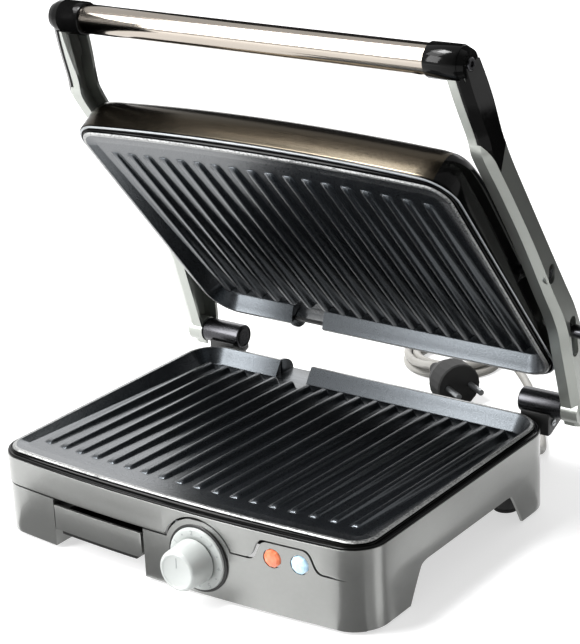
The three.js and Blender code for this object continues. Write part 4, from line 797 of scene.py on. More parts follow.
def ribShape():
    # one rib with a filleted foot and faded ends; the attribute stretch is 1 at its front end
    reach = plate["ribHalf"]
    # half of the section: across, above the floor, share of the height
    section = [(-5.4, -0.9, 0), (-4.6, 0, 0.02), (-3.9, 0, 0.1), (-3.2, 0, 0.3)]
    section += [(-2.6, 0, 0.62), (-2.1, 0, 0.85), (-1.5, 0, 0.97), (-0.7, 0, 1)]
    # both ends: distance from the tip, share of the height
    frontEnd = ((0, 0.05), (0.4, 0.3), (1.1, 0.55), (2.2, 0.79), (3.6, 0.94), (5.2, 1))
    rearEnd = ((3.4, 1), (2.2, 0.95), (1.3, 0.82), (0.6, 0.6), (0.2, 0.35), (0, 0.05))
    stations = [(-reach + y, grow) for y, grow in frontEnd]
    stations += [(y, 1) for y in (-60, -30, 0, 30, 60)]
    stations += [(reach + plate["ribPast"] - y, grow) for y, grow in rearEnd]
    rings = []
    for y, grow in stations:
        low = floorAt(y)
        high = crestAt(y) - low
        spread = 0.7 + 0.3 * grow
        half = []
        for x, lift, share in section:
            z = low + (lift if share == 0 and lift < 0 else high * grow * share)
            half.append((x * spread, y, z))
        rings.append(half + [(-x, y, z) for x, y, z in reversed(half)])
    obj = loops("ribShape", rings)
    mark = obj.data.attributes.new("stretch", "FLOAT", "POINT")
    for i, v in enumerate(obj.data.vertices):
        mark.data[i].value = max(0, (reach - v.co.y) / (2 * reach))
    return obj


def ribTree(material):
    # a row of ribs, each drawn forward to follow the bowed front
    tree = bpy.data.node_groups.new("ribRow", "GeometryNodeTree")
    face = tree.interface
    face.new_socket("Geometry", in_out="INPUT", socket_type="NodeSocketGeometry")
    kinds = {"Rib": "NodeSocketObject", "Count": "NodeSocketInt"}
    kinds.update({name: "NodeSocketFloat" for name in ("Pitch", "Bow", "Half width", "Slope")})
    for name, kind in kinds.items():
        face.new_socket(name, in_out="INPUT", socket_type=kind)
    face.new_socket("Geometry", in_out="OUTPUT", socket_type="NodeSocketGeometry")
    given = addNode(tree, "NodeGroupInput").outputs
    subtract, multiply, divide = ({"operation": how} for how in ("SUBTRACT", "MULTIPLY", "DIVIDE"))
    count, pitch = given["Count"], given["Pitch"]
    # the row starts half its length to the left
    step = addNode(tree, "ShaderNodeCombineXYZ", X=pitch).outputs[0]
    less = addNode(tree, "ShaderNodeMath", subtract, i0=count, i1=1.0).outputs[0]
    run = addNode(tree, "ShaderNodeMath", multiply, i0=less, i1=pitch).outputs[0]
    first = addNode(tree, "ShaderNodeMath", multiply, i0=run, i1=-0.5).outputs[0]
    start = addNode(tree, "ShaderNodeCombineXYZ", X=first).outputs[0]
    row = addNode(tree, "GeometryNodeMeshLine", Count=count, Start_Location=start, Offset=step).outputs[0]
    shape = addNode(tree, "GeometryNodeObjectInfo", Object=given["Rib"]).outputs["Geometry"]
    laid = addNode(tree, "GeometryNodeInstanceOnPoints", Points=row, Instance=shape).outputs[0]
    real = addNode(tree, "GeometryNodeRealizeInstances", Geometry=laid).outputs[0]
    # the bow is greatest in the middle and fades out towards the sides and the rear
    spot = addNode(tree, "GeometryNodeInputPosition").outputs[0]
    across = addNode(tree, "ShaderNodeSeparateXYZ", i0=spot).outputs["X"]
    share = addNode(tree, "ShaderNodeMath", divide, i0=across, i1=given["Half width"]).outputs[0]
    square = addNode(tree, "ShaderNodeMath", multiply, i0=share, i1=share).outputs[0]
    swell = addNode(tree, "ShaderNodeMath", subtract, i0=1.0, i1=square).outputs[0]
    named = {"data_type": "FLOAT"}
    mark = addNode(tree, "GeometryNodeInputNamedAttribute", named, Name="stretch").outputs[0]
    pull = addNode(tree, "ShaderNodeMath", multiply, i0=swell, i1=mark).outputs[0]
    forward = addNode(tree, "ShaderNodeMath", multiply, i0=pull, i1=given["Bow"]).outputs[0]
    back = addNode(tree, "ShaderNodeMath", multiply, i0=forward, i1=-1.0).outputs[0]
    lift = addNode(tree, "ShaderNodeMath", multiply, i0=forward, i1=given["Slope"]).outputs[0]
    offset = addNode(tree, "ShaderNodeCombineXYZ", Y=back, Z=lift).outputs[0]
    moved = addNode(tree, "GeometryNodeSetPosition", Geometry=real, Offset=offset).outputs[0]
    painted = addNode(tree, "GeometryNodeSetMaterial", Geometry=moved, Material=material).outputs[0]
    addNode(tree, "NodeGroupOutput", Geometry=painted)
    return tree


def giveInputs(change, values):
    # sets a modifier's inputs by their sockets' identifiers
    for item in change.node_group.interface.items_tree:
        if item.item_type == "SOCKET" and item.in_out == "INPUT" and item.name in values:
            change[item.identifier] = values[item.name]


def ribRow(name, shape, tree):
    obj = meshObject(name, [(0, 0, 0)], [])
    change = obj.modifiers.new("ribs", "NODES")
    change.node_group = tree
    giveInputs(change, {
        "Rib": shape, "Count": plate["ribs"], "Pitch": float(plate["ribPitch"]), "Bow": float(plate["bow"]),
        "Half width": float(plate["half"] - plate["cornerFront"]), "Slope": plate["ribLift"],
    })
    return settle(obj)


def makePlates():
    upper = lidTurn @ flip
    finish(spoutGap(trimRing("lowerTrim")), "glossAbs", "base", "lower_bezel")
    finish(spoutGap(trimRing("upperTrim")), "glossAbs", "lid", "upper_bezel", upper)
    rib = ribShape()
    tree = ribTree(mats["ptfeCoating"])
    lowerPlate = castPlate("lowerPlate")
    upperPlate = twin(lowerPlate, "upperPlate")
    finish(lowerPlate, "ptfeCoating", "base", "lower_plate", sharp=40)
    finish(upperPlate, "ptfeCoating", "lid", "upper_plate", upper, sharp=40)
    # painted highlight along each plate's lip, as a bright metal bead
    finish(lipHighlightBead("lowerLip"), "lipHighlightMetal", "base", sharp=20)
    finish(lipHighlightBead("upperLip"), "lipHighlightMetal", "lid", (), upper, sharp=20)
    # painted highlight along the crest of the upper trim, as a steel bead
    finish(spoutGap(trimHighlightBead("upperTrimEdge")), "platedSteel", "lid", (), upper, sharp=20)
    finish(ribRow("lowerRibs", rib, tree), "ptfeCoating", "base", sharp=60)
    finish(ribRow("upperRibs", rib, tree), "ptfeCoating", "lid", (), upper, sharp=60)
    bpy.data.objects.remove(rib)


makePlates()
print("plates made")


# Lid

lidLine = {
    "rise": [(0, 0), (0.6, 8.4), (2.2, 17.9), (6.5, 24.9), (13.5, 29.2), (25, 31.8)],
    "ridge": [(-60, 34.6), (-20, 35.8), (20, 34.4), (55, 30.4)],
    "fall": [(-32, 24.4), (-16, 21), (-6.5, 16.9), (-1.5, 9.9), (0, 0)],
}


def lidProfile(x, wall):
    # section of the lid at x, from the foot of its front over the top to the foot of its rear
    bow = lid["bow"] * (1 - (x / lid["half"]) ** 2)

    def cornerBack(r):
        return r - math.sqrt(max(0, r * r - max(0, abs(x) - lid["half"] + r) ** 2))

    front = -lid["front"] - bow + cornerBack(lid["cornerFront"]) + wall
    rear = lid["rear"] - cornerBack(lid["cornerRear"]) - wall
    past = max(0, abs(x) - lid["top"] + lid["edge"])
    drop = lid["edge"] - math.sqrt(lid["edge"] ** 2 - past ** 2) if past < lid["edge"] else lid["edge"]
    loss = lid["endLoss"] * (abs(x) - lid["top"]) / (lid["half"] - lid["top"])
    share = (1 if past <= lid["edge"] else 1 - loss) * (1 - drop / lid["high"])
    points = [(front + y, z) for y, z in lidLine["rise"]] + lidLine["ridge"]
    points += [(rear + y, z) for y, z in lidLine["fall"]]
    return [(y, lid["low"] + max(0, z - wall) * share) for y, z in spline(points, 5)]


def lidRing(x, wall):
    return [Vector((x, y, z)) for y, z in lidProfile(x, wall)]


def makeLid():
    cap, half, top, edge, shell = (lid[k] for k in ("cap", "half", "top", "edge", "shell"))
    stations = [cap * k / 20 for k in range(-20, 21)]
    cover = loops("lidCover", [lidRing(x, 0) + lidRing(x, lid["steel"])[::-1] for x in stations])
    depth, high = (plate["rear"] - 6, lid["rear"] + 5), lid["mirror"] - floorAt(plate["rear"]) + 2.2
    carve(cover, block("spoutCut", notchSpan(plate["spoutRoom"]), depth, (lid["low"] - 5, high)))
    soften(cover, 0.3, 2, 50)
    finish(cover, "brushedSheet", "lid", "lid_cover", lidTurn, sharp=40)
    start = cap + 0.3
    bend = [top - edge + edge * math.sin(math.pi / 2 * k / 8) for k in range(1, 9)]
    xs = [start, top - edge, *bend, half]
    body = loops("lidCap", [lidRing(x, shell if x == half else 0) for x in xs])
    inside = (start - 5, top - 0.5 * edge - shell, top - shell)
    carve(body, loops("hollow", [lidRing(x, shell) for x in inside]))
    carve(body, block("hollow", (start - 5, top - shell), lid["hollow"], (0, 75)))
    carve(body, stack("room", [(housing, 3.1, 0), (housing, 3.1, lid["low"] + 2.5)]))
    carve(body, rod("boss", lid["boss"], start, top - 1.2, lid["pinY"], lid["pinZ"], 32), "UNION")
    carve(body, rod("bore", arm["pinHole"], start + 1, start + 31, lid["pinY"], lid["pinZ"], 32))
    soften(body, 0.5, 2, 45)
    pair(body, "lidCap", "glossAbs", "lid", ["lid_cap"], lidTurn, sharp=35)


makeLid()
print("lid made")


# Arms with their glossy inlays

# front and rear edge of the section, as (y, z), from the handle down to the hinge
armRows = [
    ((-16.6, 339.5), (3.6, 341)), ((-12.5, 325), (9.6, 327)), ((-7.1, 310.1), (14.7, 312.3)),
    ((0.6, 291), (20.3, 291.5)), ((3.8, 279.7), (24.6, 281.6)), ((12, 267.6), (33.5, 267)),
    ((25.1, 250), (46.2, 248)), ((53.6, 208.9), (73.4, 207.5)), ((79.8, 166.7), (100.2, 168)),
    ((92.5, 147.2), (111.9, 151)), ((100.3, 132), (121, 133.6)), ((104.6, 118), (131.3, 115.6)),
    ((111.5, 96), (138.6, 93)), ((118.1, 74.4), (140.6, 71)), ((124.5, 55.6), (137.2, 54)),
]


def outerEdge(sunk):
    # both corners of the chamfer in the section, as (depth, x), sunk below the arm's face
    run, chamfer = arm["outer"] - arm["shoulder"], arm["chamfer"]
    slope = math.hypot(chamfer, run)
    atFront = (0, arm["shoulder"] - sunk * slope / chamfer)
    return [atFront, (chamfer + sunk * run / (slope + chamfer), arm["outer"] - sunk)]


def armLoft(name, section, pastEnds=False):
    # a section swept down the curved arm, whose upper end leans inward
    rows = [(*front, *rear) for front, rear in armRows]
    fine = spline(rows, 3)
    if pastEnds:
        ahead = tuple(a + (a - b) / 2 for a, b in zip(rows[0], rows[1]))
        after = tuple(a + (a - b) / 2 for a, b in zip(rows[-1], rows[-2]))
        fine = [ahead, *fine, after]
    rings = []
    for fy, fz, ry, rz in fine:
        front, back = Vector((fy, fz)), Vector((ry - fy, rz - fz))
        deep = back.length
        back.normalize()
        lean = arm["lean"] * max(0, fz - arm["leanFrom"]) / (handle["z"] - arm["leanFrom"])
        rings.append([Vector((x - lean, *(front + back * t))) for t, x in section(deep)])
    return loops(name, rings)


def armFilled(name, sunk, beyond):
    # the arm as a solid bar, its face sunk and its other sides drawn out
    atFront, atWeb = outerEdge(sunk)
    along = beyond * (arm["outer"] - arm["shoulder"]) / arm["chamfer"]
    return armLoft(name, lambda deep: [
        (-beyond, arm["inner"] - beyond), (-beyond, atFront[1] - along), atWeb,
        (deep + beyond, arm["outer"] - sunk), (deep + beyond, arm["inner"] - beyond),
    ], beyond > 0)


def inlayRegion(name, grow):
    # the upper end of the arm, as far as the inlay covers it
    y0, y1, low, top = handle["y"] - 21.4, 34, 287, handle["z"] + 20
    outline = [(y0, low - grow), (2, low - grow), (17, 267 - 1.6 * grow), (24 + grow, low)]
    outline += [(y1, low), (y1, top), (y0, top)]
    return prism(name, outline, "x", arm["inner"] - 7, arm["outer"] + 5.4)


# outer face, inner face and shoulder of the round cap at the arm's upper end
topOuter = arm["outer"] - arm["lean"]
capInner = topOuter - 1 - 0.3 - arm["web"]
shoulderX = arm["shoulder"] - arm["lean"]


def coneAt(x):
    # radius of the round cap
    return handle["collar"] - arm["endTaper"] * max(0, x - shoulderX) / (arm["outer"] - arm["shoulder"])


def capRound(name, grow, x0):
    rows = [(0, 0), (0, coneAt(x0) + grow)]
    if x0 < shoulderX:
        rows.append((shoulderX - x0, handle["collar"] + grow))
    rows += [(topOuter - x0 + grow, coneAt(topOuter) + grow), (topOuter - x0 + grow, 0)]
    return lathe(name, rows, "x", (x0, handle["y"], handle["z"]), 64)


def endCut():
    # what stands out of the round cap beyond the handle's axis
    way = math.atan2(arm["endWay"][1], arm["endWay"][0])
    ring = arc(handle["y"], handle["z"], arm["endReach"], way - math.pi / 2, way + math.pi / 2, 16)
    cut = prism("endCut", ring, "x", shoulderX - 2, arm["outer"] + 5)
    return carve(cut, capRound("cap", 0, shoulderX - 6))


def ovalCut(name, y, z, radius, half, x0, x1, tilt=0):
    # a slot, upright or tilted
    dy, dz = -half * math.sin(tilt), half * math.cos(tilt)
    outline = arc(y + dy, z + dz, radius, tilt, tilt + math.pi, 16)
    outline += arc(y - dy, z - dz, radius, tilt + math.pi, tilt + 2 * math.pi, 16)
    return prism(name, outline, "x", x0, x1)


def tongueOutline(radius):
    # the tongue of the arm that reaches up to the handle's axis
    y, z = arm["tongueY"], arm["tongueZ"]
    tilt = math.atan2(handle["z"] - z, handle["y"] - y)
    outline = arc(handle["y"], handle["z"], radius, tilt - math.pi / 2, tilt + math.pi / 2, 16)
    return outline + arc(y, z, radius, tilt + math.pi / 2, tilt + 1.5 * math.pi, 16)


def makeArms():
    keys = ("outer", "inner", "web", "shoulder", "chamfer", "sunk")
    outer, inner, web, shoulder, chamfer, sunk = (arm[k] for k in keys)
    channel = armLoft("armBody", lambda deep: [
        (0, inner), *outerEdge(0), (deep, outer), (deep, inner),
        (deep - web, inner), (deep - web, outer - web), (chamfer + 0.5 * web, outer - web),
        (web, shoulder - 0.5 * web), (web, inner),
    ])
    backing = armFilled("backing", sunk, 0)
    carve(backing, armFilled("cut", sunk + web, 1))
    carve(backing, inlayRegion("cut", web), "INTERSECT")
    carve(channel, backing, "UNION")
    boss = rod("boss", arm["boss"], inner - 0.2, outer - web / 2, hinge["y"], hinge["z"])
    carve(channel, boss, "UNION")
    seat = rod("seat", arm["seat"], outer - web - 5, outer - web / 2, pivot["y"], pivot["z"])
    carve(channel, seat, "UNION")
    skin = armFilled("skin", -5, 1)
    carve(skin, armFilled("cut", sunk, 2))
    carve(skin, inlayRegion("cut", 0.3), "INTERSECT")
    carve(channel, skin)
    carve(channel, capRound("cut", 0.3, capInner - 30))
    carve(channel, endCut())
    tongue = prism("tongue", tongueOutline(arm["tongue"]), "x", capInner, capInner + web)
    carve(channel, tongue, "UNION")
    carve(channel, rod("cut", arm["hingeBore"], inner - 5, outer - web, hinge["y"], hinge["z"]))
    hole, play = arm["pinHole"], arm["pinPlay"]
    carve(channel, ovalCut("cut", pivot["y"], pivot["z"], hole, play, outer - web - 10, outer + 5))
    carve(channel, rod("cut", handle["bore"], inner - 10, outer + 5, handle["y"], handle["z"], 24))
    left = twin(channel, "armLeft")
    y, z, radius, half, tilt = (arm[k] for k in ("slotY", "slotZ", "slotRadius", "slotHalf", "slotTilt"))
    carve(channel, ovalCut("cut", y, z, radius, half, outer - 10, outer + 5, math.radians(tilt)))
    for obj, side, place in ((channel, "right", None), (left, "left", mirror)):
        soften(obj, 0.45, 1, 30)
        obj.name = "arm" + side.capitalize()
        finish(obj, "lacqueredArms", "arms", "arm_" + side, place, sharp=13)


def makeInlays():
    # a glossy skin over the arm's upper end with the round cap of the handle
    y, z = handle["y"], handle["z"]
    inlay = armFilled("armInlay", 0, 0)
    carve(inlay, endCut())
    carve(inlay, armFilled("cut", 1, 1))
    carve(inlay, inlayRegion("cut", 0), "INTERSECT")
    carve(inlay, rod("cut", handle["collar"] + 0.3, arm["inner"] - 15, capInner, y, z))
    carve(inlay, capRound("cap", 0, capInner), "UNION")
    room = tongueOutline(arm["tongue"] + 0.3)
    carve(inlay, prism("cut", room, "x", capInner - 0.3, capInner + arm["web"] + 0.3))
    carve(inlay, rod("cut", handle["screwSeat"], topOuter - 1, topOuter + 5, y, z))
    carve(inlay, rod("cut", handle["bore"], capInner - 5, topOuter + 5, y, z, 24))
    soften(inlay, 0.3, 2, 30)
    pair(inlay, "armInlay", "glossAbs", "arms", ["arm_inlay"], sharp=32)


makeArms()
makeInlays()
print("arms made")


# Handle, its collars and screws

def makeHandle():
    y, z, half, r, collar = (handle[k] for k in ("y", "z", "half", "radius", "collar"))
    full = 2 * half
    rows = [(0, r - 1.3), (0, r - 0.3), (0.3, r), (full - 0.3, r), (full, r - 0.3), (full, r - 1.3)]
    tube = lathe("handleTube", rows, "x", (-half, y, z), 128)
    rows = [(0, 0), (0, handle["screwHole"]), (20, handle["screwHole"]), (20, 0)]
    for x in (-half + handle["screwIn"], half - handle["screwIn"]):
        hole = lathe("hole", rows, "z", (0, 0, -20), 32)
        turned = Matrix.Translation((x, y, z)) @ Matrix.Rotation(handle["holeTurn"], 4, "X")
        hole.data.transform(turned @ Matrix.Diagonal((1.5, 1, 1, 1)))
        carve(tube, hole)
    finish(tube, "polishedTube", "arms", "handle_tube", sharp=40)
    length = capInner - 0.3 - half - 0.3
    rows = [(-10, 0), (-10, 8.3), (0, 8.3), (0, 10.6), (0.3, 11.1), (0.9, collar)]
    rows += [(shoulderX - half - 0.3, collar), (length, coneAt(capInner - 0.3)), (length, 0)]
    sleeve = lathe("handleCollar", rows, "x", (half + 0.3, y, z), 96)
    carve(sleeve, rod("cut", handle["bore"], capInner - 10.3, capInner + 5, y, z, 24))
    pair(sleeve, "handleCollar", "glossAbs", "arms", ["handle_collar"])
    start = capInner - 10
    under = topOuter - 1 + 0.3 - start
    rows = [(0, 0), (0, 2.4), (under, 2.4), (under, 4.2), (under + 1.2, 4.2)]
    rows += [(under + 1.5, 4.05), (under + 1.8, 3.6), (under + 1.8, 0)]
    screw = lathe("handleScrew", rows, "x", (start, y, z), 48)
    # six-sided socket
    carve(screw, rod("cut", 2.2, start + under + 0.6, start + under + 3, y, z, 6))
    soften(screw, 0.12, 2, 50)
    pair(screw, "handleScrew", "darkChrome", "arms", ["handle_screw"])


makeHandle()
print("handle made")


# Controls

dialPrint = {
    "numbers": ("1", "2", "3", "4", "5", "6"), "size": 4.6, "radius": 18.4, "from": 150, "step": -52,
    "thick": 0.06, "dot": 0.6,
}


def onDial(radius, angle, y):
    # a spot round the dial's axis
    return dial["x"] + radius * math.cos(angle), y, dial["z"] + radius * math.sin(angle)


def makeDialPrint(face):
    # grey numbers round the ring, with a small dot between each two
    verts, faces = [], []
    radius, thick = dialPrint["radius"], dialPrint["thick"]
    for i, number in enumerate(dialPrint["numbers"]):
        data = bpy.data.curves.new("digit", "FONT")
        data.body = number
        data.size = dialPrint["size"]
        data.align_x = "CENTER"
        data.align_y = "CENTER"
        data.extrude = thick
        digit = bpy.data.objects.new("digit", data)
        bpy.context.collection.objects.link(digit)
        graph = bpy.context.evaluated_depsgraph_get()
        settled = bpy.data.meshes.new_from_object(digit.evaluated_get(graph))
        angle = math.radians(dialPrint["from"] + dialPrint["step"] * i)
        turn = Matrix.Translation(onDial(radius, angle, face)) @ Matrix.Rotation(math.pi / 2 - angle, 4, "Y")
        turn = turn @ Matrix.Rotation(math.pi / 2, 4, "X")
        start = len(verts)
        verts += [turn @ v.co for v in settled.vertices]
        faces += [tuple(start + k for k in f.vertices) for f in settled.polygons]
        bpy.data.objects.remove(digit)
        if i == len(dialPrint["numbers"]) - 1:
            break
        start = len(verts)
        x, y, z = onDial(radius, angle + math.radians(dialPrint["step"] / 2), face)
        for depth in (-thick, thick):
            verts += [(u, y + depth, v) for u, v in arc(x, z, dialPrint["dot"], 0, 2 * math.pi, 12)[:12]]
        front, back = range(start, start + 12), range(start + 12, start + 24)
        faces += [(front[k - 1], front[k], back[k], back[k - 1]) for k in range(12)]
        faces += [tuple(front), tuple(back)]
    finish(meshObject("dialPrint", verts, faces), "greyInk", "base")


def makeControls():
    face = faceAt(dial["x"])
    rows = [(0.3, 13.4), (0.3, 21.6), (1.6, 21.5), (2.2, 21.2), (2.5, 20.6)]
    rows += [(2.6, 20.0), (2.6, 14.6), (2.3, 13.9), (1.9, 13.4)]
    ring = lathe("dialRing", rows, "-y", (dial["x"], face, dial["z"]), 96)
    finish(ring, "silverAbs", "base", "dial_ring")
    # a black ring round the dial ring that paints the shade round it
    rows = [(-0.5, 21.3), (-0.5, 23.4), (0.5, 23.4), (0.8, 23.2), (0.9, 22.9), (0.9, 21.6), (0.6, 21.3)]
    seat = lathe("dialSeat", rows, "-y", (dial["x"], face, dial["z"]), 96)
    finish(seat, "satinAbs", "base")
    rows = [(0, 0), (0, 12.4), (2.6, 12.4), (3.0, 14.9), (3.4, 15.2), (19.9, 14.1), (20.9, 13.7)]
    rows += [(21.6, 13.0), (21.95, 12.2), (22, 11.8), (21.9, 11.3), (21.6, 10.9), (21.4, 10.5), (21.4, 0)]
    knob = lathe("controlKnob", rows, "-y", (dial["x"], face - 1, dial["z"]), 120)
    finish(knob, "silverAbs", "knob", "control_knob")
    across, along = (dial["x"] - 0.35, dial["x"] + 0.35), (dial["z"] + 2.5, dial["z"] + 9.5)
    mark = block("knobMark", across, (face - 22.5, face - 22.36), along)
    finish(mark, "greyInk", "knob")
    makeDialPrint(face - 2.64)
    r = lamps["radius"]
    rows = [(-9, 0), (-9, r - 1), (-0.6, r), (0.5, 0.96 * r), (1.5, 0.76 * r), (2.1, 0.46 * r), (2.4, 0)]
    kinds = (
        ("lampLensA", "redLens", "lamp_red", "power_lamp"),
        ("lampLensB", "blueLens", "lamp_blue", "ready_lamp"),
    )
    for x, (name, material, slotName, replaced) in zip(lamps["x"], kinds):
        # nine sides, as the facets of the lens show
        lens = lathe(name, rows, "-y", (x, faceAt(x), lamps["z"]), 9)
        finish(lens, material, "base", replaced, sharp=8)


makeControls()
print("controls made")


# Drip tray

tray = {
    "left": -98.2, "right": -19.6, "bottom": 15, "top": 32.8, "corner": 4, "side": 5.5,
    "boxLow": 12.5, "boxTop": 26.4, "rear": 112, "wall": 1.4, "flange": 2.6, "mouth": 5.4,
}


def makeTray():
    t = tray
    panel = fasciaSkin("trayPanel")
    c = t["corner"]
    outline = [(t["left"], t["top"]), (t["left"], t["bottom"])]
    outline += arc(t["right"] - c, t["bottom"] + c, c, -math.pi / 2, 0, 8) + [(t["right"], t["top"])]
    carve(panel, prism("cut", outline, "y", -housing["front"] - 15, -housing["front"] + 20), "INTERSECT")
    soften(panel, 0.6, 3, 40)
    finish(panel, "lacqueredSteel", "tray", "drip_tray", sharp=28)
    x0, x1 = t["left"] + t["side"], t["right"] - t["side"]
    front, deep = faceAt(t["left"]) + 1.1, faceAt(t["right"]) + 1.1
    w = t["wall"]
    bowl = block("trayBowl", (x0, x1), (deep, t["rear"]), (t["boxLow"], t["boxTop"]))
    carve(bowl, stack("cut", [(housing, 1.6, 0), (housing, 1.6, 58)]), "INTERSECT")
    depth = (front + t["mouth"], t["rear"] - w)
    hollow = block("cut", (x0 + w, x1 - w), depth, (t["boxLow"] + w, t["boxTop"] + 5))
    soften(hollow, 4, 3, 40)
    carve(bowl, hollow)
    wide, depth = (x0 - t["flange"], x1 + t["flange"]), (front + t["mouth"] + 0.6, t["rear"])
    rim = block("rim", wide, depth, (t["boxTop"] - w, t["boxTop"]))
    carve(rim, block("cut", (x0 + w, x1 - w), (front, t["rear"] - w), (t["boxLow"], t["boxTop"] + 5)))
    carve(bowl, rim, "UNION")
    soften(bowl, 0.4, 2, 40)
    finish(bowl, "satinAbs", "tray")


makeTray()
print("tray made")


# Hinges, feet, lock lever and strain relief

hingeSizes = {
    "radius": 9, "from": 122.5, "to": 156.3, "bore": 4.3, "pin": 8.2, "bracket": (126, 148), "low": 47,
    "back": 137.5, "screwZ": 55,
}
foot = {"radius": 9, "pad": 3.0, "spigot": 5.2, "x": 131, "front": -80, "rear": 88}
relief = {"root": 7.5, "base": 5.6, "neck": 4.3, "long": 30, "ridges": 7}


def makeHinges():
    g, y, z = hingeSizes, hinge["y"], hinge["z"]
    r, span, pin, bore = g["radius"], g["to"] - g["from"], g["pin"], g["bore"]
    rows = [(0, 0), (0, r - 2.6), (0.8, r - 2.4), (0.8, r - 1.1), (0, r - 0.9), (0.2, r - 0.4)]
    rows += [(0.8, r - 0.05), (1.2, r), (span - 1.2, r), (span - 0.6, r - 0.1), (span - 0.15, r - 0.5)]
    rows += [(span, r - 1), (span, bore), (pin, bore), (pin, 0)]
    barrel = lathe("hingeBarrel", rows, "x", (g["from"], y, z), 96)
    pair(barrel, "hingeBarrel", "darkChrome", "base", ["hinge_barrel"])
    face, back, (x0, x1) = housing["rear"] + 0.3, g["back"], g["bracket"]
    outline = [(face, g["low"]), (face + 4, g["low"]), (back, z - r - 4), (back, z - 2), (face, z - 4)]
    bracket = prism("hingeBracket", outline, "x", x0, x1)
    carve(bracket, rod("cut", r + 0.3, x0 - 5, x1 + 5, y, z, 96))
    soften(bracket, 0.7, 3, 30)
    pair(bracket, "hingeBracket", "satinAbs", "base", ["hinge_bracket"])
    rows = [(-1, 0), (-1, 2.6), (0.5, 2.6), (0.9, 2.3), (1.1, 1.6), (1.1, 0)]
    screw = lathe("bracketScrew", rows, "x", (x1, face + 7, g["screwZ"]), 32)
    slot = (g["screwZ"] - 0.4, g["screwZ"] + 0.4)
    carve(screw, block("slot", (x1 + 0.6, x1 + 2), (face + 3, face + 11), slot))
    pair(screw, "bracketScrew", "platedSteel", "base", [])


def makeFeet():
    r, pad, spigot = foot["radius"], foot["pad"], foot["spigot"]
    rows = [(0, 0), (0, r - 1.2), (0.25, r - 0.5), (0.8, r), (pad - 0.4, r), (pad, r - 0.4), (pad, spigot)]
    rows += [(pad + spigot, spigot), (pad + spigot, 0)]
    for side, x in (("left", -foot["x"]), ("right", foot["x"])):
        for end in ("front", "rear"):
            name = "rubberFoot" + end.capitalize() + side.capitalize()
            piece = lathe(name, rows, "z", (x, foot[end], 0), 64)
            finish(piece, "mouldedRubber", "base", "rubber_foot_" + end + "_" + side)


def makeLever():
    # takes its place and size from the CAD solid
    low, high = (Vector(c) * 1000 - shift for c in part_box("lid_lock_knob"))
    middle = (low + high) / 2
    length = high.x - low.x
    radius = (high.z - low.z) / 2
    rows = [(0, 0), (0, 4.3), (0.3, 4.6), (1.5, 4.6), (1.5, 3.5), (4.5, 3.5), (4.5, radius - 1.2)]
    rows += [(4.9, radius - 1), (length - 6.6, radius - 1), (length - 6.2, radius - 1.6)]
    rows += [(length - 5.4, radius - 1.6), (length - 5.0, radius), (length - 1, radius)]
    rows += [(length - 0.3, radius - 0.4), (length, radius - 1.2), (length, 0)]
    lever = lathe("lockLever", rows, "x", (low.x, middle.y, middle.z), 64)
    finish(lever, "darkChrome", "lock", "lid_lock_knob")


def makeRelief():
    # a tapered sleeve with ridges round the cord
    n, root, neck, long, base = (relief[k] for k in ("ridges", "root", "neck", "long", "base"))
    rows = [(0, 0), (0, root - 0.4), (0.4, root), (2, root), (2.4, root - 0.4), (2.5, base)]
    step = (long - 4.5) / n
    for i in range(n):
        start = 3 + step * i
        r = base + (neck - base) * i / n
        rows += [(start, r), (start + 0.62 * step, r), (start + 0.7 * step, r - 0.7)]
        rows += [(start + 0.92 * step, r - 0.75), (start + step - 0.02, r - 0.2)]
    rows += [(long - 0.5, neck), (long, neck - 0.3), (long, 0)]
    sleeve = lathe("strainRelief", rows, "y", (cord["exitX"], housing["rear"] + 0.3, cord["exitZ"]), 48)
    finish(sleeve, "mouldedRubber", "base", "strain_relief")


makeHinges()
makeFeet()
makeLever()
makeRelief()
print("small pieces made")


# CAD solids that stay keep their shapes and get their finishes

kept = {
    "satinAbs": ("bottom_cover", "lid_frame"),
    "platedSteel": (
        "tray_rail_left", "tray_rail_right", "lower_heater", "upper_heater", "lower_reflector",
        "upper_reflector", "thermostat", "thermostat_shaft", "hinge_pin_left", "hinge_pin_right",
        "plug_pin_a", "plug_pin_b",
    ),
    # the lid's pivot pins are dark so that the slots round them keep the dark of their shade: painted shade
    "darkChrome": ("lid_pivot_pin_left", "lid_pivot_pin_right"),
    "mouldedRubber": ("plug_body",),
}
for finishName, names in kept.items():
    for name in names:
        nodes[name].data.materials.clear()
        nodes[name].data.materials.append(mats[finishName])
print("finishes given")


# Stage: white floor that keeps the shadow, soft lamps, dark flags for the reflections and a white world

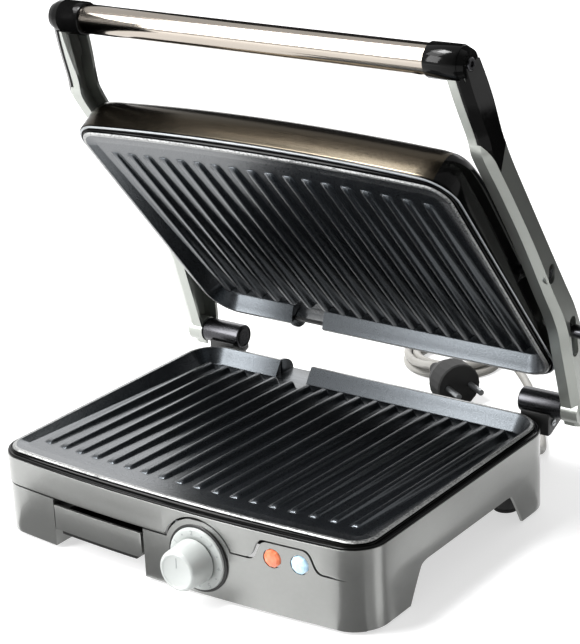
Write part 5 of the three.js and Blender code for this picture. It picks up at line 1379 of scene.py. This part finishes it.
studio = {
    "floorHalf": 6, "floorGrey": "#c8c8c8", "floorGlow": 0.6, "glowFades": (0.6, 1.4),
    "worldLight": 0.33, "aim": (0, 0, 0.12),
    # a dark part of the room in front of the grill's right corner, that only shows in reflections
    "darkSide": {"toward": (0.58, -0.76, 0.28), "from": 0.35, "to": 0.75, "level": 0.04},
    "lamps": {
        "windowLamp": {"spot": (-0.95, -1.2, 0.72), "size": (0.6, 0.9), "power": 28},
        "topLamp": {"spot": (-0.45, -0.31, 1.2), "size": (0.4, 0.4), "power": 6},
        "coverLamp": {"spot": (-0.25, -0.27, 1.1), "size": (0.25, 0.25), "power": 10},
        "plateLamp": {"spot": (-0.64, 0.65, 0.41), "size": (0.6, 0.5), "power": 1.1},
        "sideLamp": {"spot": (-0.6, -0.57, 1.1), "size": (0.5, 0.5), "power": 7},
        "backLamp": {"spot": (-0.5, 1.6, 1.0), "size": (1.8, 0.5), "power": 6},
    },
    # flags that only mirrored rays see, most of them flat over the floor: level, outline in millimetres
    "flags": {
        "cornerFlag": (
            0.3, ((130, -121, 1), (62, -303, 1), (160, -430, 1), (400, -264, 1), (149, -109.5, 1)),
        ),
        "midFlag": (0.6, ((149, -109.5, 1), (400, -264, 1), (440, -104, 1), (152, -104, 1))),
        "sideFlag": (0.42, ((153.5, -99, 1), (440, 55, 1), (380, 195, 1), (154, -93, 1))),
        "skirtFlag": (0.42, ((155, -85, 1), (155, 108, 1), (190, 140, 1), (184, -50, 1))),
        "dialFlag": (0.2, ((-26, -128, 1), (12, -129, 1), (-30, -182, 1), (-68, -180, 1))),
        "trayFlag": (0.3, ((-153, -118, 1), (-17, -124, 1), (-64, -190, 1), (-206, -186, 1))),
        "bandFlag": (0.36, ((-208, -194, 1), (-55, -202, 1), (-97, -256, 1), (-250, -248, 1))),
        "armFlag": (0.05, ((90, 590, 1), (730, 110, 1), (730, 110, 250), (90, 590, 250))),
        "spoutFlag": (0.03, ((-60, 190, 1), (90, 190, 1), (90, 330, 1), (-60, 330, 1))),
        "coverFlag": (0.0, ((-155.5, -110, 285), (-155.5, 40, 285), (-155.5, 40, 372), (-155.5, -110, 372))),
        "ridgeFlag": (0.02, ((-420, 300, 345), (60, 300, 345), (60, 300, 800), (-420, 300, 800))),
    },
}


def seenRays(tree):
    # 1 for rays of the camera and for mirrored ones, then 1 for mirrored ones alone
    ray = addNode(tree, "ShaderNodeLightPath").outputs
    straight, mirrored = ray["Is Camera Ray"], ray["Is Glossy Ray"]
    both = addNode(tree, "ShaderNodeMath", {"operation": "MAXIMUM"}, i0=straight, i1=mirrored)
    return both.outputs[0], mirrored


def card(name, corners, mat):
    # a flat piece of the stage
    data = bpy.data.meshes.new(name)
    data.from_pydata(corners, [], [tuple(range(len(corners)))])
    data.materials.append(mat)
    obj = bpy.data.objects.new(name, data)
    bpy.context.collection.objects.link(obj)
    return obj


def makeFloor():
    mat, tree = emptyMaterial("whitePaper")
    seen = seenRays(tree)[0]
    spot = addNode(tree, "ShaderNodeTexCoord").outputs["Object"]
    away = addNode(tree, "ShaderNodeVectorMath", {"operation": "LENGTH"}, i0=spot).outputs["Value"]
    (near, far), least = studio["glowFades"], studio["floorGlow"]
    level = addNode(tree, "ShaderNodeMapRange", i0=away, i1=near, i2=far, i3=least, i4=1.0).outputs[0]
    glow = addNode(tree, "ShaderNodeMath", {"operation": "MULTIPLY"}, i0=seen, i1=level)
    light = addNode(tree, "ShaderNodeEmission", Color=(1, 1, 1, 1), Strength=glow.outputs[0]).outputs[0]
    diffuse = addNode(tree, "ShaderNodeBsdfDiffuse", Color=hexColor(studio["floorGrey"])).outputs[0]
    both = addNode(tree, "ShaderNodeAddShader", i0=light, i1=diffuse).outputs[0]
    addNode(tree, "ShaderNodeOutputMaterial", Surface=both)
    # seen by rays but not sampled as a lamp, which keeps the reflections clean
    mat.cycles.emission_sampling = "NONE"
    w = studio["floorHalf"]
    floor = card("floor", [(-w, -w, 0), (w, -w, 0), (w, w, 0), (-w, w, 0)], mat)


def makeWorld():
    world = bpy.data.worlds.new("studio")
    bpy.context.scene.world = world
    world.use_nodes = True
    tree = world.node_tree
    tree.nodes.clear()
    seen, mirrored = seenRays(tree)
    strength = addNode(tree, "ShaderNodeMapRange", i0=seen, i3=studio["worldLight"], i4=1.0).outputs[0]
    dark = studio["darkSide"]
    way = addNode(tree, "ShaderNodeTexCoord").outputs["Generated"]
    facing = addNode(tree, "ShaderNodeVectorMath", {"operation": "DOT_PRODUCT"}, i0=way, i1=dark["toward"])
    low, high, least = dark["from"], dark["to"], dark["level"]
    fade = addNode(tree, "ShaderNodeMapRange", i0=facing.outputs["Value"], i1=low, i2=high, i3=1.0, i4=least)
    shown = addNode(tree, "ShaderNodeMix", i0=mirrored, i2=1.0, i3=fade.outputs[0]).outputs[0]
    total = addNode(tree, "ShaderNodeMath", {"operation": "MULTIPLY"}, i0=strength, i1=shown).outputs[0]
    shine = addNode(tree, "ShaderNodeBackground", Color=(1, 1, 1, 1), Strength=total).outputs[0]
    addNode(tree, "ShaderNodeOutputWorld", Surface=shine)


def makeFlags():
    for name, (level, outline) in studio["flags"].items():
        mat, tree = emptyMaterial(name + "Cloth")
        cloth = addNode(tree, "ShaderNodeEmission", Color=(level, level, level, 1), Strength=1.0).outputs[0]
        addNode(tree, "ShaderNodeOutputMaterial", Surface=cloth)
        mat.cycles.emission_sampling = "NONE"
        flag = card(name, [(Vector(corner) + shift) / 1000 for corner in outline], mat)
        flag.visible_camera = False
        flag.visible_diffuse = False
        flag.visible_shadow = False
        flag.visible_transmission = False


def makeLamps():
    for name, lamp in studio["lamps"].items():
        data = bpy.data.lights.new(name, "AREA")
        data.shape = "RECTANGLE"
        data.size, data.size_y = lamp["size"]
        data.energy = lamp["power"]
        obj = bpy.data.objects.new(name, data)
        spot = Vector(lamp["spot"])
        obj.location = spot
        obj.rotation_euler = (Vector(studio["aim"]) - spot).to_track_quat("-Z", "Y").to_euler()
        bpy.context.collection.objects.link(obj)


makeFloor()
makeWorld()
makeFlags()
makeLamps()
bpy.context.scene.view_settings.view_transform = "Standard"
print("stage set")
